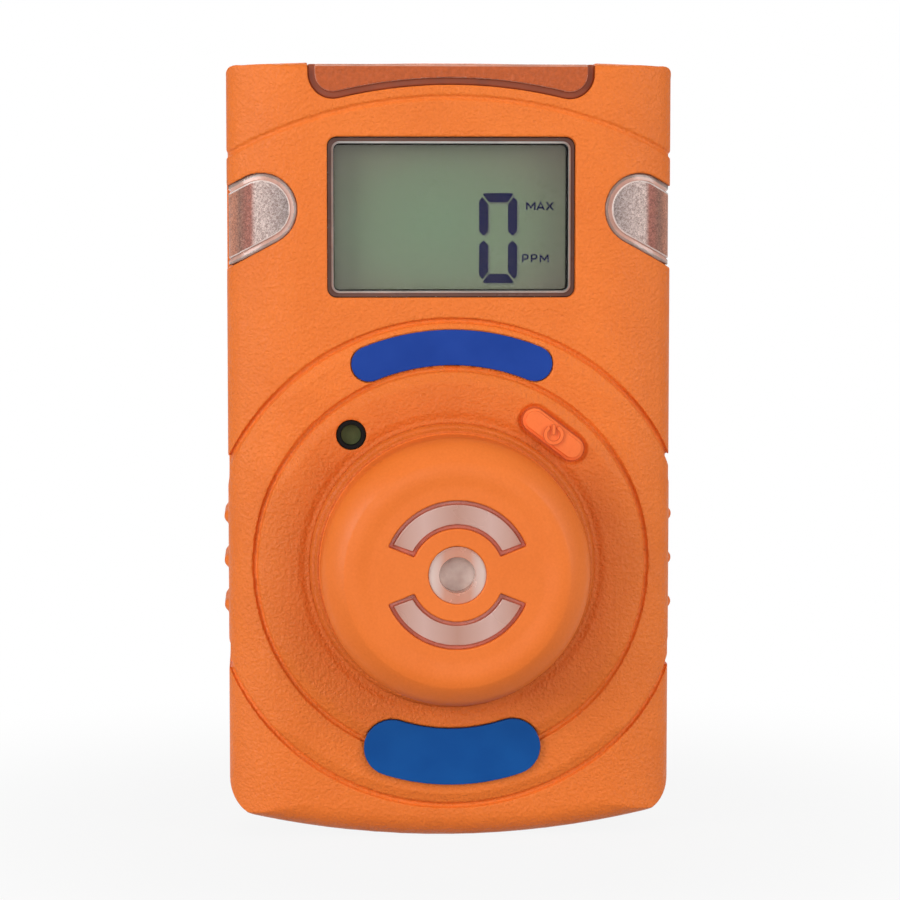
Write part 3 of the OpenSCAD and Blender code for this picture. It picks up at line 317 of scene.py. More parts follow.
# The side lenses show columns of colour, which are reflections in the photograph.
PAD_REACH = 0.019, 0.026
PAD_STOPS = [
    (0.0, (0.44, 0.36, 0.34)), (0.28, (0.7, 0.56, 0.52)), (0.52, (0.86, 0.68, 0.62)),
    (0.6, (0.5, 0.17, 0.12)), (0.68, (0.46, 0.16, 0.11)), (0.78, (0.38, 0.18, 0.125)),
    (0.88, (0.7, 0.3, 0.19)), (1.0, (0.9, 0.4, 0.26))]
PAD_SPECKS = [(0.38, (0.46, 0.39, 0.37)), (0.62, (1.0, 1.0, 1.0))]
pad = Mat("lens_pad", (0.6, 0.45, 0.39), rough=0.36, Specular_IOR_Level=0.45)
squiggle = pad.noise(scale=4300.0, detail=2.0, rough=0.6, distortion=1.2)
columns = pad.ramp(pad.span(pad.off_middle(), 0.0, 1.0, *PAD_REACH), PAD_STOPS)
pad.color(pad.times(columns, pad.ramp(squiggle, PAD_SPECKS)))
pad.rough(pad.noise(scale=1500), 0.26, 0.46)
pad.bump(squiggle, 0.0001)
pad_band = plain("lens_band", (0.66, 0.38, 0.3), rough=0.22, grain=1500, depth=0.000003,
                 Coat_Weight=0.4)
# A painted highlight: the bright line along the inner edge of each side lens's clear rim.
pad_highlight = plain("lens_line", (0.82, 0.7, 0.65), rough=0.16, grain=1500, depth=0.000003)
pad_rim = frosted("lens_rim", (0.86, 0.66, 0.58), rough=0.16, transmission=0.6, grain=1500.0,
                  depth=0.000004)

# So does the retainer behind the cap's window.
SLOT_REACH, HUB_REACH = 0.0076, 0.0028
SLOT_STOPS = [(0.0, (0.54, 0.27, 0.2)), (0.5, (0.68, 0.42, 0.36)), (0.78, (0.6, 0.33, 0.26)),
              (1.0, (0.5, 0.2, 0.13))]
HUB_STOPS = [(0.0, (0.72, 0.28, 0.17)), (0.5, (0.74, 0.33, 0.22)), (0.75, (0.8, 0.52, 0.44)),
             (1.0, (0.88, 0.66, 0.58))]
retainer = frosted("retainer_frosted", (0.62, 0.37, 0.31), rough=0.3, transmission=0.1,
                   grain=300.0, depth=0.000008, across=(SLOT_REACH, SLOT_STOPS), Coat_Weight=0.3)
retainer_rim = frosted("retainer_rim", (0.62, 0.17, 0.105), rough=0.3, transmission=0.1,
                       grain=900.0, depth=0.000006)
retainer_hub = frosted("retainer_hub", (0.7, 0.36, 0.27), rough=0.2, transmission=0.2,
                       grain=1500.0, depth=0.000004, across=(HUB_REACH, HUB_STOPS),
                       Coat_Weight=0.4)

window = Mat("window_clear", (0.03, 0.035, 0.03), rough=0.05, Alpha=0.08, Specular_IOR_Level=0.5)
window.rough(window.noise(scale=500, detail=4), 0.03, 0.09)
window.bump(window.noise(scale=2500, detail=2), 0.000001)
# Painted reflection: the window's clear rim is brown with the orange wall of the recess reflected in
# it.
pane_rim_reflection = plain("window_rim", (0.13, 0.05, 0.03), rough=0.3, depth=0.000003,
                 Specular_IOR_Level=0.3)
# A painted highlight: the bright line along the edge of the raised pane.
pane_edge_highlight = plain("window_bevel", (0.6, 0.66, 0.65), rough=0.12, depth=0.000002,
                   Specular_IOR_Level=0.8)

# Painted light on the display: it is greener and lighter in an oval round its middle, and browner and
# darker towards its corners.
LCD_MIDDLE = (-0.0015, 0.0, 0.0722)
LCD_OVAL = (70.0, 0.0, 105.0)
LCD_REACH = 0.4, 1.5
LCD_STOPS = [(0.0, (0.215, 0.32, 0.185)), (0.45, (0.22, 0.295, 0.175)), (1.0, (0.24, 0.225, 0.15))]
LCD_SPECKS = [(0.38, (0.8, 0.8, 0.8)), (0.62, (1.0, 1.0, 1.0))]
lcd = Mat("display_glass", (0.22, 0.27, 0.18), rough=0.3, Specular_IOR_Level=0.3)
cloud = lcd.math("MULTIPLY", lcd.noise(scale=60, detail=2), 0.5)
lit_spread = lcd.math("ADD", lcd.far_from(LCD_MIDDLE, LCD_OVAL), cloud)
lcd.color(lcd.times(lcd.ramp(lcd.span(lit_spread, 0.0, 1.0, *LCD_REACH), LCD_STOPS),
                    lcd.ramp(lcd.noise(scale=5200, detail=2), LCD_SPECKS)))
lcd.rough(lcd.noise(scale=1800), 0.24, 0.34)
lcd.bump(lcd.noise(scale=6000, detail=2), 0.000002)
ink = plain("display_ink", (0.006, 0.004, 0.055), rough=0.6, grain=2000, depth=0.000001,
            Specular_IOR_Level=0.08)
# Colour of the painted shadow of the digit.
ink_shade = plain("display_shade", (0.13, 0.16, 0.115), rough=0.5, grain=2000, depth=0.000001)

upper_blue = label("label_upper", (0.012, 0.05, 0.33),
                   dark=(0.009, 0.048, 0.3), light=(0.013, 0.058, 0.34))
lower_blue = label("label_lower", (0.004, 0.085, 0.36),
                   dark=(0.003, 0.072, 0.3), light=(0.005, 0.088, 0.34))

rubber = plain("rubber_black", (0.006, 0.005, 0.005), rough=0.6, grain=1400,
               Specular_IOR_Level=0.12)
gasket_brown = plain("gasket_brown", (0.2, 0.045, 0.012), rough=0.6, grain=1400,
                     Specular_IOR_Level=0.12)
black = plain("plastic_black", (0.025, 0.025, 0.026), rough=0.45)
white_plastic = plain("plastic_white", (0.75, 0.76, 0.74), rough=0.4)
board_green = plain("board_green", (0.02, 0.13, 0.06), rough=0.35, grain=1600)
mesh_green = plain("port_mesh", (0.075, 0.085, 0.03), rough=0.6, grain=3200, depth=0.00003,
                   Specular_IOR_Level=0.15)
filter_white = plain("filter_white", (0.96, 0.82, 0.75), rough=0.9, grain=2600, depth=0.00002)
sleeve_blue = plain("cell_sleeve", (0.06, 0.09, 0.3), rough=0.3, grain=700, depth=0.000005)
strip_grey = plain("strip_grey", (0.08, 0.08, 0.09), rough=0.7)

steel_x = metal("steel_pin", (0.6, 0.6, 0.61), rough=0.28, along="x")
steel_y = metal("steel_screw", (0.55, 0.55, 0.56), rough=0.3, along="y")
steel_z = metal("steel_clip", (0.66, 0.66, 0.67), rough=0.26, along="z")
wire = metal("steel_wire", (0.5, 0.5, 0.51), rough=0.25, along="x")
tungsten = metal("weight_metal", (0.36, 0.36, 0.38), rough=0.4, along="y")
gold = metal("gold_plate", (0.83, 0.6, 0.22), rough=0.3, along="y")


# Moulded pieces, and the solids that keep their own shape

WELD = 1e-4  # points nearer than this become one
SMOOTHING = 0.5  # how far each round of smoothing moves a point
SHARP = math.radians(35)  # a solid's edge of this angle or more stays sharp


def softened(node, name, body, material, voxel, rounds, swell=0.0):
    """A moulded copy of a CAD node: the same form with its edges rounded.

    voxel is how fine the copy is, and swell gives back what the rounds of smoothing take off.
    """
    me = nodes[node].data.copy()
    me.materials.clear()
    me.transform(Matrix.Scale(PER_M, 4))
    bm = bmesh.new()
    bm.from_mesh(me)
    bmesh.ops.remove_doubles(bm, verts=bm.verts, dist=WELD)
    bm.to_mesh(me)
    bm.free()
    ob = bpy.data.objects.new(name, me)
    scene.collection.objects.link(ob)
    remesh = ob.modifiers.new("remesh", "REMESH")
    remesh.mode = "VOXEL"
    remesh.voxel_size = voxel
    remesh.use_smooth_shade = True
    smooth = ob.modifiers.new("smooth", "SMOOTH")
    smooth.factor = SMOOTHING
    smooth.iterations = rounds
    dg = bpy.context.evaluated_depsgraph_get()
    made = bpy.data.meshes.new_from_object(ob.evaluated_get(dg))
    ob.modifiers.clear()
    made.transform(Matrix.Scale(MM, 4))
    if swell:
        moves = [n.vector * swell * MM for n in made.vertex_normals]
        for v, move in zip(made.vertices, moves):
            p = v.co + move
            v.co = Vector(min(max(p[i], cad_lo[i]), cad_hi[i]) for i in range(3))
    made.polygons.foreach_set("use_smooth", [True] * len(made.polygons))
    ob.data = made
    bpy.data.meshes.remove(me)
    made.materials.append(material)
    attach(ob, body)
    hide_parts(node)
    return ob


def finish_node(node, material):
    """A CAD node with its own shape, a new material and softened shading."""
    me = nodes[node].data
    me.materials.clear()
    me.materials.append(material)
    me.polygons.foreach_set("use_smooth", [True] * len(me.polygons))
    me.set_sharp_from_angle(angle=SHARP)


front_shell = softened("front_cover", "front_shell", "case", orange,
                       voxel=0.14, rounds=3)
rear_shell = softened("rear_cover", "rear_shell", "case", orange,
                      voxel=0.22, rounds=5)
sensor_dome = softened("sensor_cap", "sensor_dome", "case", cap_orange,
                       voxel=0.12, rounds=5, swell=0.1)
softened("power_button", "power_key", "key", key_orange, voxel=0.05, rounds=4)
retainer_ring = softened("filter_retainer", "retainer_ring", "case", retainer,
                         voxel=0.07, rounds=5)
top_lens = softened("top_alarm_lens", "top_lens", "case", amber,
                    voxel=0.08, rounds=4, swell=0.08)
left_lens = softened("left_alarm_lens", "left_lens", "case", pad.m,
                     voxel=0.08, rounds=4, swell=0.08)
right_lens = softened("right_alarm_lens", "right_lens", "case", pad.m,
                      voxel=0.08, rounds=4, swell=0.08)
softened("upper_label", "upper_plate", "case", upper_blue, voxel=0.06, rounds=6)
softened("lower_label", "lower_plate", "case", lower_blue, voxel=0.07, rounds=6)
softened("sounder_grommet", "port_ring", "case", rubber, voxel=0.06, rounds=4)

for material, solids in (
    (window.m, ["display_window"]),
    (lcd.m, ["lcd_panel"]),
    (rubber, ["window_seal", "lcd_border", "sensor_seal", "battery_pad", "motor_boot"]),
    (gasket_brown, ["case_gasket"]),
    (strip_grey, ["zebra_strips"]),
    (white_plastic, ["lcd_backlight", "alarm_leds", "gas_sensor"]),
    (black, ["lcd_carrier", "sounder", "switch_plunger", "key_switch", "board_chips"]),
    (mesh_green, ["sounder_membrane"]),
    (filter_white, ["dust_filter"]),
    (gold, ["sensor_pins", "pin_sockets"]),
    (board_green, ["main_board"]),
    (sleeve_blue, ["battery"]),
    (tungsten, ["eccentric_weight"]),
    (steel_x, ["vibration_motor", "motor_shaft", "clip_pin"]),
    (steel_y, ["case_screws", "board_screws", "clip_screw"]),
    (steel_z, ["battery_tabs", "clip_base", "clip_lever"]),
):
    for solid in solids:
        finish_node(solid, material)


# Fine shape of the moulded pieces

LENS_X, LENS_Z = 22.0, 73.7  # centre of the round end of a side lens
LENS_OUT, LENS_DOWN = 0.883, 0.47  # the way its sides run from there
cap_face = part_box("sensor_cap")[0].y * PER_M


def ease(v, a, b):
    """A smooth step from 0 at a to 1 at b."""
    t = min(max((v - a) / (b - a), 0.0), 1.0)
    return t * t * (3 - 2 * t)


def with_facing(ob):
    """Each vertex of a piece with how far it faces the rear."""
    facing = [n.vector.y for n in ob.data.vertex_normals]
    return list(zip(ob.data.vertices, facing))


def from_cap_axis(c):
    return math.hypot(c.x, c.z - CAP_AXIS)


def from_lens_line(c):
    """Distance of a point from the middle line of a side lens."""
    x, z = abs(c.x) - LENS_X, c.z - LENS_Z
    along = x * LENS_OUT - z * LENS_DOWN
    return math.hypot(x, z) if along < 0 else abs(x * LENS_DOWN + z * LENS_OUT)


MIDDLE_SINK, MIDDLE_EDGE = 0.16, (9.8, 11.6)  # the flat middle of the cap
CREST_SINK, CREST_EDGE = 0.55, (11.8, 14.6)  # its shoulder, outside the crest
CAP_FADE = 1.5, 5.0  # both fade out over these depths behind the face
COLLAR_IN, RIDGE_AT, RIDGE_PITCH, RIDGE_DEPTH = 15.45, 15.78, 0.55, 0.07


def shape_cap():
    """Sets a soft crest round the face of the cap, and two fine ridges on its collar."""
    for v, facing in with_facing(sensor_dome):
        c = v.co * PER_M
        far = from_cap_axis(c)
        front = 1 - ease(c.y - cap_face, *CAP_FADE)
        sink = MIDDLE_SINK * (1 - ease(far, *MIDDLE_EDGE)) + CREST_SINK * ease(far, *CREST_EDGE)
        v.co.y += MM * front * sink
        if far > COLLAR_IN and facing < -0.3:
            wave = math.cos((far - RIDGE_AT) * 2 * math.pi / RIDGE_PITCH)
            v.co.y -= RIDGE_DEPTH * MM * wave


FOOT_R, FOOT_HALF, FOOT_DEPTH = 17.1, 0.8, 0.22
FOOT_FRONT = -6.5  # only the front of the case has the groove


def groove_foot():
    """A soft groove in the case at the foot of the cap."""
    for v, facing in with_facing(front_shell):
        c = v.co * PER_M
        if c.y < FOOT_FRONT and facing < -0.5:
            near = max(0.0, 1 - abs(from_cap_axis(c) - FOOT_R) / FOOT_HALF)
            v.co.y += FOOT_DEPTH * MM * near


CORNER_X, CORNER_Z, CORNER_RUN = 24.1, 88.9, 1.9  # where a top corner starts, and its length
CORNER_PUSH = 0.3
SIDE_LIMIT, TOP_LIMIT = 26.0, 90.79


def sharpen_corners(shell):
    """Pushes the top corners of the case out towards the photograph's small radius."""
    for v in shell.data.vertices:
        c = v.co * PER_M
        side, up = abs(c.x) - CORNER_X, c.z - CORNER_Z
        if side > 0 and up > 0:
            push = CORNER_PUSH * min(side / CORNER_RUN, 1.0) * min(up / CORNER_RUN, 1.0)
            x = max(abs(c.x), min(SIDE_LIMIT, abs(c.x) + push))
            v.co.x = math.copysign(x * MM, c.x)
            v.co.z = max(c.z, min(TOP_LIMIT, c.z + push)) * MM


RIM_FLANK, RIM_EDGE = (24.2, 25.6), (3.32, 3.7)
RIM_FRONT, RIM_PUSH = -2.0, 0.3


def close_rim(lens):
    """Pushes the ends of a side lens's rim out to the flank of the case."""
    for v in lens.data.vertices:
        c = v.co * PER_M
        if c.y < RIM_FRONT:
            share = ease(abs(c.x), *RIM_FLANK) * ease(from_lens_line(c), *RIM_EDGE)
            v.co.x += math.copysign(RIM_PUSH * MM * share, c.x)


THIN_SCALE = 10000  # decimation needs sizes well above its own least measure
THIN_SHARE = 0.3


def thin(ob):
    """The piece with fewer faces, mostly where it is flat, once its shape is final."""
    full = ob.data
    full.transform(Matrix.Scale(THIN_SCALE, 4))
    fewer = ob.modifiers.new("fewer", "DECIMATE")
    fewer.ratio = THIN_SHARE
    dg = bpy.context.evaluated_depsgraph_get()
    ob.data = bpy.data.meshes.new_from_object(ob.evaluated_get(dg))
    ob.modifiers.remove(fewer)
    ob.data.transform(Matrix.Scale(1 / THIN_SCALE, 4))
    bpy.data.meshes.remove(full)


shape_cap()
groove_foot()
for shell in (front_shell, rear_shell):
    sharpen_corners(shell)
for lens in (left_lens, right_lens):
    close_rim(lens)
for shell in (front_shell, rear_shell):
    thin(shell)


# Colour zones: each takes the middle and the normal of a face, and gives the place of its material

COLLAR_R = 15.5
TOP_EDGE, TOP_HIGHLIGHT_DEPTH, TOP_PANE = 90.12, 0.3, 0.1  # height of the top edge, and depths behind the face
SIDE_PAD, SIDE_HIGHLIGHT, SIDE_BAND = 3.2, 3.36, 3.78  # how far each zone reaches from the middle line
HUB_R, SLOT_DEPTH = 4.3, 0.62
PANE_RIM = 0.3, 0.5  # depth of the window's rim behind its face
top_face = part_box("top_alarm_lens")[0].y * PER_M
pane_lo, pane_hi = (v * PER_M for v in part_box("display_window"))


def paint(ob, extra, zone):
    """Further materials on a piece, chosen face by face."""
    for m in extra:
        ob.data.materials.append(m)
    for f in ob.data.polygons:
        f.material_index = zone(f.center * PER_M, f.normal)


def cap_zone(c, n):
    return int(from_cap_axis(c) > COLLAR_R)


def top_zone(c, n):
    deep = c.y - top_face
    # Zone 2 is the painted highlight along the top edge and the side walls.
    if c.z > TOP_EDGE and deep < TOP_HIGHLIGHT_DEPTH:
        return 2
    if deep < TOP_HIGHLIGHT_DEPTH and -0.93 < n.y < 0.2 and n.z < 0.6:
        return 2
    return 0 if deep < TOP_PANE or n.z > 0.7 else 1


def side_zone(c, n):
    far = from_lens_line(c)
    return sum(far >= edge for edge in (SIDE_PAD, SIDE_HIGHLIGHT, SIDE_BAND))


def retainer_zone(c, n):
    if from_cap_axis(c) < HUB_R:
        return 2
    return 0 if c.y - cap_face < SLOT_DEPTH else 1


def pane_zone(c, n):
    return int(PANE_RIM[0] < c.y - pane_lo.y < PANE_RIM[1] and n.y < -0.7)


paint(sensor_dome, [orange], cap_zone)
paint(top_lens, [amber_rim, amber_highlight], top_zone)
for lens in (left_lens, right_lens):
    paint(lens, [pad_highlight, pad_band, pad_rim], side_zone)
paint(retainer_ring, [retainer_rim, retainer_hub], retainer_zone)
paint(nodes["display_window"], [pane_rim_reflection], pane_zone)


# Trim and print

def skin(bm, rows, closed=True):
    """Faces between each row of points and the next; a closed row runs round to its start."""
    for a, b in zip(rows, rows[1:]):
        for i in range(len(a) if closed else len(a) - 1):
            j = (i + 1) % len(a)
            bm.faces.new((a[i], a[j], b[j], b[i]))


def as_object(name, bm, material):
    """The faces, turned outward, as an object of their own."""
    bmesh.ops.recalc_face_normals(bm, faces=bm.faces)
    me = bpy.data.meshes.new(name)
    bm.to_mesh(me)
    bm.free()
    me.materials.append(material)
    ob = bpy.data.objects.new(name, me)
    scene.collection.objects.link(ob)
    return ob


def plates(name, outlines, y, thick, material):
    """Thin plates on the display, from outlines of (x, z) points."""
    bm = bmesh.new()
    for outline in outlines:
        face = bm.faces.new([bm.verts.new((x * MM, y * MM, z * MM)) for x, z in outline])
        made = bmesh.ops.extrude_face_region(bm, geom=[face])
        up = [v for v in made["geom"] if isinstance(v, bmesh.types.BMVert)]
        bmesh.ops.translate(bm, verts=up, vec=(0, -thick * MM, 0))
    ob = as_object(name, bm, material)
    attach(ob, "case")


def ring(name, loops, material):
    """A closed band through loops of points."""
    bm = bmesh.new()
    rows = [[bm.verts.new(Vector(p) * MM) for p in loop] for loop in loops]
    skin(bm, rows + rows[:1])
    ob = as_object(name, bm, material)
    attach(ob, "case")


def strip(name, outer, inner, y, thick, material):
    """A flat open strip on the key, between two lines of (x, z) points."""
    bm = bmesh.new()
    rows = [[bm.verts.new((x * MM, level * MM, z * MM)) for x, z in line] for line, level in (
        (outer, y), (inner, y), (inner, y - thick), (outer, y - thick))]
    skin(bm, rows + rows[:1], closed=False)
    for end in (0, -1):
        bm.faces.new([row[end] for row in rows])
    ob = as_object(name, bm, material)
    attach(ob, "key")


# Key: a painted shade in the gap round it, and the power sign as a raised mark with painted shade
# along its edge

KEY_ORBIT, KEY_TURN = 19.245, math.radians(37.5)  # its place about the cap's axis
KEY_HALF_RUN, KEY_END_STEPS = 2.7, 14
KEY_SHADE_IN, KEY_SHADE_OUT, KEY_SHADE_FRONT, KEY_SHADE_REAR = 1.43, 1.62, 0.34, 0.6
SIGN_OPEN, SIGN_STEPS, BAR_STEPS = 32, 40, 4  # half the opening of the ring, in degrees
SIGN_SUNK = 0.12
key_x = KEY_ORBIT * math.sin(KEY_TURN)
key_z = CAP_AXIS + KEY_ORBIT * math.cos(KEY_TURN)
key_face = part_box("power_button")[0].y * PER_M


def key_loop(half, y):
    """Outline of the key, a bar with round ends, drawn to a half width."""
    cos, sin = math.cos(-KEY_TURN), math.sin(-KEY_TURN)
    points = []
    for k, end in enumerate((1, -1)):
        for i in range(KEY_END_STEPS + 1):
            a = math.radians(-90 + 180 * k + 180 * i / KEY_END_STEPS)
            u, w = end * KEY_HALF_RUN + half * math.cos(a), half * math.sin(a)
            points.append((key_x + u * cos - w * sin, y, key_z + u * sin + w * cos))
    return points


def power_sign(name, inner, outer, half, low, high, proud, material):
    """An open ring and a bar about the middle of the key."""
    y, thick = key_face + SIGN_SUNK, SIGN_SUNK + proud
    sweep = [math.radians(90 + SIGN_OPEN + i * (360 - 2 * SIGN_OPEN) / SIGN_STEPS)
             for i in range(SIGN_STEPS + 1)]
    outer_arc, inner_arc = ([(key_x + r * math.cos(a), key_z + r * math.sin(a)) for a in sweep]
                            for r in (outer, inner))
    strip(name + "_ring", outer_arc, inner_arc, y, thick, material)
    rise = [key_z + low + i * (high - low) / BAR_STEPS for i in range(BAR_STEPS + 1)]
    strip(name + "_bar", [(key_x - half, z) for z in rise], [(key_x + half, z) for z in rise],
          y, thick, material)


# A darker band in the gap round the key: painted shade where the gap between key and case lies in
# shadow.
ring("key_surround", [
    key_loop(KEY_SHADE_IN, CASE_FACE + KEY_SHADE_FRONT), key_loop(KEY_SHADE_OUT, CASE_FACE + KEY_SHADE_FRONT),
    key_loop(KEY_SHADE_OUT, CASE_FACE + KEY_SHADE_REAR), key_loop(KEY_SHADE_IN, CASE_FACE + KEY_SHADE_REAR),
], key_gap_shade)
# The darker, larger copy under the sign is painted shade along the edge of the raised mark.
power_sign("mark_edge", inner=0.68, outer=1.24, half=0.26, low=-0.06, high=1.22, proud=0.01,
           material=key_sign_shade)
power_sign("mark_face", inner=0.8, outer=1.13, half=0.14, low=0.04, high=1.12, proud=0.05,
           material=key_orange)


# Display: the bevel of its window as a painted highlight, the nought with a painted shadow, and the
# two words

PANE_W, PANE_H, PANE_EDGE = 28.8, 18.55, 1.35  # the opening in the case, and how much less the pane is
PANE_CORNER_STEPS = 8
PRINT_LIFT, PRINT_THICK = 0.012, 0.012
SHADE_LIFT, SHADE_THICK, SHADE_SHIFT = 0.003, 0.006, (0.22, -0.2)
LETTER_BOLD = 0.19
lcd_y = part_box("lcd_panel")[0].y * PER_M
pane_x, pane_z = (pane_lo.x + pane_hi.x) / 2, (pane_lo.z + pane_hi.z) / 2


def pane_loop(grow, r, deep):
    """A rounded rectangle round the pane, some way behind the face of the window."""
    w, h = PANE_W - PANE_EDGE + grow, PANE_H - PANE_EDGE + grow
    points = []
    for k, (sx, sz) in enumerate(((1, 1), (-1, 1), (-1, -1), (1, -1))):
        for i in range(PANE_CORNER_STEPS + 1):
            a = math.radians(90 * k + 90 * i / PANE_CORNER_STEPS)
            points.append((pane_x + sx * (w / 2 - r) + r * math.cos(a), pane_lo.y + deep,
                           pane_z + sz * (h / 2 - r) + r * math.sin(a)))
    return points


def digit_zero(left, low, right, high, bar, gap):
    """The six lit bars of a seven-bar nought, with mitred ends."""
    middle, half = (low + high) / 2, bar / 2
    flat = [(left + bar * 0.52, high), (right - bar * 0.52, high),
            (right - bar * 0.42, high - bar * 0.16), (right - bar - gap * 0.2, high - bar),
            (left + bar + gap * 0.2, high - bar), (left + bar * 0.42, high - bar * 0.16)]
    post = [(left + bar * 0.36, high - bar * 0.42), (left + bar, high - bar - gap),
            (left + bar, middle + gap + half), (left + half, middle + gap),
            (left, middle + gap + half), (left, high - bar * 0.85)]
    upper = [flat, post, [(left + right - x, z) for x, z in post]]
    return upper + [[(x, 2 * middle - z) for x, z in outline] for outline in upper]


GLYPHS = {  # strokes of plain capitals, in shares of their width and height
    "M": [[(0, 0), (0, 1)], [(0, 1), (0.5, 0.3), (1, 1)], [(1, 1), (1, 0)]],
    "A": [[(0, 0), (0.5, 1), (1, 0)], [(0.2, 0.3), (0.8, 0.3)]],
    "X": [[(0, 0), (1, 1)], [(0, 1), (1, 0)]],
    "P": [[(0, 0), (0, 1)],
          [(0, 1), (0.6, 1), (0.9, 0.9), (1, 0.72), (0.9, 0.54), (0.6, 0.44), (0, 0.44)]],
}


def stroke(points, width):
    """The outline of a line of the given width, with its bends mitred."""
    points = [Vector(p) for p in points]
    runs = [(b - a).normalized() for a, b in zip(points, points[1:])]
    left, right = [], []
    for i, p in enumerate(points):
        before, after = runs[max(i - 1, 0)], runs[min(i, len(runs) - 1)]
        run = (before + after).normalized()
        side = Vector((-run.y, run.x)) * (width / 2 / max(0.6, run.dot(before)))
        left.append(tuple(p + side))
        right.append(tuple(p - side))
    return left + right[::-1]


def lettering(word, x, z, height, widths, gap):
    """A word in plain capitals on the display, from its lower left corner."""
    edge, rise = LETTER_BOLD / 2, height - LETTER_BOLD
    outlines = []
    for letter, width in zip(word, widths):
        run = width - LETTER_BOLD
        for line in GLYPHS[letter]:
            points = [(x + edge + u * run, z + edge + v * rise) for u, v in line]
            outlines.append(stroke(points, LETTER_BOLD))
        x += width + gap
    plates("word_" + word.lower(), outlines, lcd_y - PRINT_LIFT, PRINT_THICK, ink)


# A thin ring at the pane's edge, painted bright as a highlight.
ring("pane_edge_highlight", [
    pane_loop(grow=0.36, r=0.95, deep=0.39), pane_loop(grow=0.3, r=0.92, deep=0.2),
    pane_loop(grow=-0.12, r=0.74, deep=0.002), pane_loop(grow=-0.2, r=0.7, deep=0.3),
], pane_edge_highlight)
nought = digit_zero(left=3.39, low=65.1, right=7.85, high=75.59, bar=1.08, gap=0.26)
shade_x, shade_z = SHADE_SHIFT
# A painted shadow of the nought: a darker copy, offset a little, just above the display.
plates("digit_shade", [[(x + shade_x, z + shade_z) for x, z in outline] for outline in nought],
       lcd_y - SHADE_LIFT, SHADE_THICK, ink_shade)
plates("digit_bars", nought, lcd_y - PRINT_LIFT, PRINT_THICK, ink)
lettering("MAX", x=8.89, z=73.52, height=1.1, widths=(1.12, 1.02, 0.98), gap=0.08)
lettering("PPM", x=8.43, z=67.43, height=1.06, widths=(0.8, 0.8, 1.1), gap=0.23)


# Clip spring: a coil round the pin, with one end leaning on the base and the other on the lever

SPRING_Y, SPRING_Z = 15.0, 57.8  # the pin's axis
COIL_R, WIRE_R, COIL_TURNS, COIL_HALF_RUN, LEG = 1.7, 0.35, 4.5, 2.7, 7.0
LEG_STEPS, TURN_STEPS, WIRE_SIDES = 6, 36, 12
WIRE_SHARP = math.radians(50)


def spring_line():
    """Points along the wire: each one's place along the pin, turn about it and rise above it."""
    count, turned = int(COIL_TURNS * TURN_STEPS), -2 * math.pi * COIL_TURNS
    near = [(COIL_HALF_RUN, 0.0, LEG * (1 - i / LEG_STEPS)) for i in range(LEG_STEPS)]
    coil = [(COIL_HALF_RUN - 2 * COIL_HALF_RUN * i / count, turned * i / count, 0.0)
            for i in range(count + 1)]
    far = [(-COIL_HALF_RUN, turned, LEG * (i + 1) / LEG_STEPS) for i in range(LEG_STEPS)]
    return near + coil + far


def spring_mesh():
    """A round wire along the line."""
    line = spring_line()
    outward = [Vector((0, -math.cos(a), math.sin(a))) for x, a, rise in line]
    spine = [Vector((x, SPRING_Y, SPRING_Z + rise)) + out * COIL_R
             for (x, a, rise), out in zip(line, outward)]
    angles = [2 * math.pi * k / WIRE_SIDES for k in range(WIRE_SIDES)]
    bm = bmesh.new()
    rows = []
    for i, (c, out) in enumerate(zip(spine, outward)):
        run = (spine[min(i + 1, len(spine) - 1)] - spine[max(i - 1, 0)]).normalized()
        out = (out - run * out.dot(run)).normalized()
        across = run.cross(out)
        rows.append([bm.verts.new(
            (c + (out * math.cos(a) + across * math.sin(a)) * WIRE_R) * MM) for a in angles])
    skin(bm, rows)
    for end in (rows[0], rows[-1]):
        bm.faces.new(end)
    return bm


spring_coil = as_object("spring_coil", spring_mesh(), wire)
coil_faces = spring_coil.data.polygons
coil_faces.foreach_set("use_smooth", [True] * len(coil_faces))
spring_coil.data.set_sharp_from_angle(angle=WIRE_SHARP)
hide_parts("clip_spring")
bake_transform(spring_coil)


# Stage, light and camera

FLOOR_HALF, FLOOR_GREY = 6.0, (0.36, 0.36, 0.36)
SHADOW_REACH, SHADOW_GLOW = (0.03, 0.11), (0.9, 1.0)
WORLD_LIGHT, WORLD_SEEN = 0.22, 1.0


def any_ray(tree, kinds):
    """1 for a ray of one of these kinds, and else 0."""
    path = add_node(tree, "LightPath")
    found = path.outputs[kinds[0]]
    for kind in kinds[1:]:
        either = add_node(tree, "Math", operation="MAXIMUM")
        tree.links.new(found, either.inputs[0])
        tree.links.new(path.outputs[kind], either.inputs[1])
        found = either.outputs[0]
    return found


def floor_material(name, color):
    """White where it is looked at, apart from a soft shadow by the part, and grey as a light."""
    m = bpy.data.materials.new(name)
    m.use_nodes = True
    t = m.node_tree
    t.nodes.clear()
    seen = any_ray(t, ("Is Camera Ray", "Is Glossy Ray", "Is Transmission Ray"))
    far = add_node(t, "VectorMath", operation="LENGTH")
    t.links.new(add_node(t, "TexCoord").outputs["Object"], far.inputs[0])
    fade = add_node(t, "MapRange", interpolation_type="SMOOTHSTEP", **{
        "From Min": SHADOW_REACH[0], "From Max": SHADOW_REACH[1],
        "To Min": SHADOW_GLOW[0], "To Max": SHADOW_GLOW[1]})
    t.links.new(far.outputs["Value"], fade.inputs["Value"])
    share = add_node(t, "Math", operation="MULTIPLY")
    t.links.new(seen, share.inputs[0])
    t.links.new(fade.outputs["Result"], share.inputs[1])
    mix = add_node(t, "MixShader")
    t.links.new(share.outputs[0], mix.inputs[0])
    t.links.new(add_node(t, "BsdfDiffuse", Color=(*color, 1)).outputs[0], mix.inputs[1])
    t.links.new(add_node(t, "Emission", Strength=1.0).outputs[0], mix.inputs[2])
    t.links.new(mix.outputs[0], add_node(t, "OutputMaterial").inputs["Surface"])
    return m


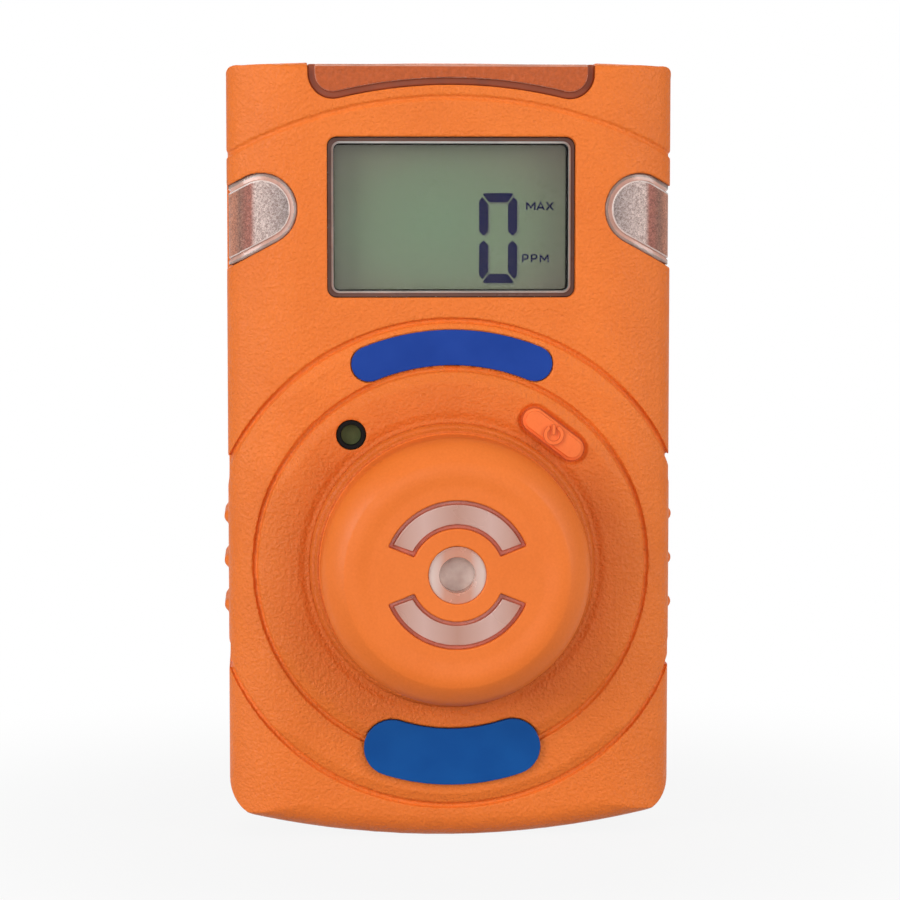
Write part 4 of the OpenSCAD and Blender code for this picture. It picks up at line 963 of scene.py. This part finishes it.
floor_mesh = bpy.data.meshes.new("floor")
floor_mesh.from_pydata([(x * FLOOR_HALF, y * FLOOR_HALF, 0) for x, y in (
    (-1, -1), (1, -1), (1, 1), (-1, 1))], [], [(0, 1, 2, 3)])
floor_mesh.materials.append(floor_material("floor_white", FLOOR_GREY))
floor = bpy.data.objects.new("floor", floor_mesh)
scene.collection.objects.link(floor)

world = bpy.data.worlds.new("studio")
scene.world = world
world.use_nodes = True
sky = world.node_tree
background = sky.nodes["Background"]
background.inputs["Color"].default_value = (1, 1, 1, 1)
level = add_node(sky, "MapRange", **{"To Min": WORLD_LIGHT, "To Max": WORLD_SEEN})
sky.links.new(any_ray(sky, ("Is Camera Ray", "Is Transmission Ray")), level.inputs["Value"])
sky.links.new(level.outputs["Result"], background.inputs["Strength"])


def lamp(name, where, aim, size, power):
    """A rectangular lamp that faces a point."""
    d = bpy.data.lights.new(name, "AREA")
    d.shape = "RECTANGLE"
    d.size, d.size_y = size
    d.energy = power
    ob = bpy.data.objects.new(name, d)
    ob.location = where
    ob.rotation_euler = (Vector(aim) - Vector(where)).to_track_quat("-Z", "Y").to_euler()
    scene.collection.objects.link(ob)


lamp("box_left", (-0.6, -0.42, 0.18), aim=(0, 0, 0.045), size=(0.3, 0.6), power=3.9)
lamp("box_right", (0.6, -0.42, 0.22), aim=(0, 0, 0.045), size=(0.3, 0.6), power=2.7)
lamp("box_front", (-0.12, -0.95, 0.17), aim=(0, 0, 0.045), size=(0.5, 0.4), power=2.1)
lamp("box_top", (0.0, -0.25, 0.65), aim=(0, 0, 0.05), size=(0.6, 0.35), power=0.5)
lamp("box_back", (0.0, 0.6, 0.4), aim=(0, 0, 0.05), size=(0.6, 0.4), power=2.4)

# The camera that took the photograph: where it stood, and its lens in pixels of the picture
CAM_TURN, CAM_RISE, CAM_DISTANCE = math.radians(-3.494), math.radians(4.63), 0.362146
CAM_AIM = Vector((0, 0, 0.0446))
PHOTO_PX, FOCAL_PX, SHIFT_X_PX, SHIFT_Y_PX = 900, 3051.79, 2.011, 5.288
SENSOR_WIDTH = 36.0

cam_data = bpy.data.cameras.new("camera")
cam = bpy.data.objects.new("camera", cam_data)
scene.collection.objects.link(cam)
scene.camera = cam
back = Vector((math.sin(CAM_TURN) * math.cos(CAM_RISE), -math.cos(CAM_TURN) * math.cos(CAM_RISE),
               math.sin(CAM_RISE)))
cam.location = CAM_AIM + back * CAM_DISTANCE
cam.rotation_mode = "QUATERNION"
cam.rotation_quaternion = (-back).to_track_quat("-Z", "Y")
cam_data.sensor_width = SENSOR_WIDTH
cam_data.lens = SENSOR_WIDTH * FOCAL_PX / PHOTO_PX
cam_data.shift_x = SHIFT_X_PX / PHOTO_PX
cam_data.shift_y = SHIFT_Y_PX / PHOTO_PX
cam_data.clip_start = 0.01
cam_data.clip_end = 50
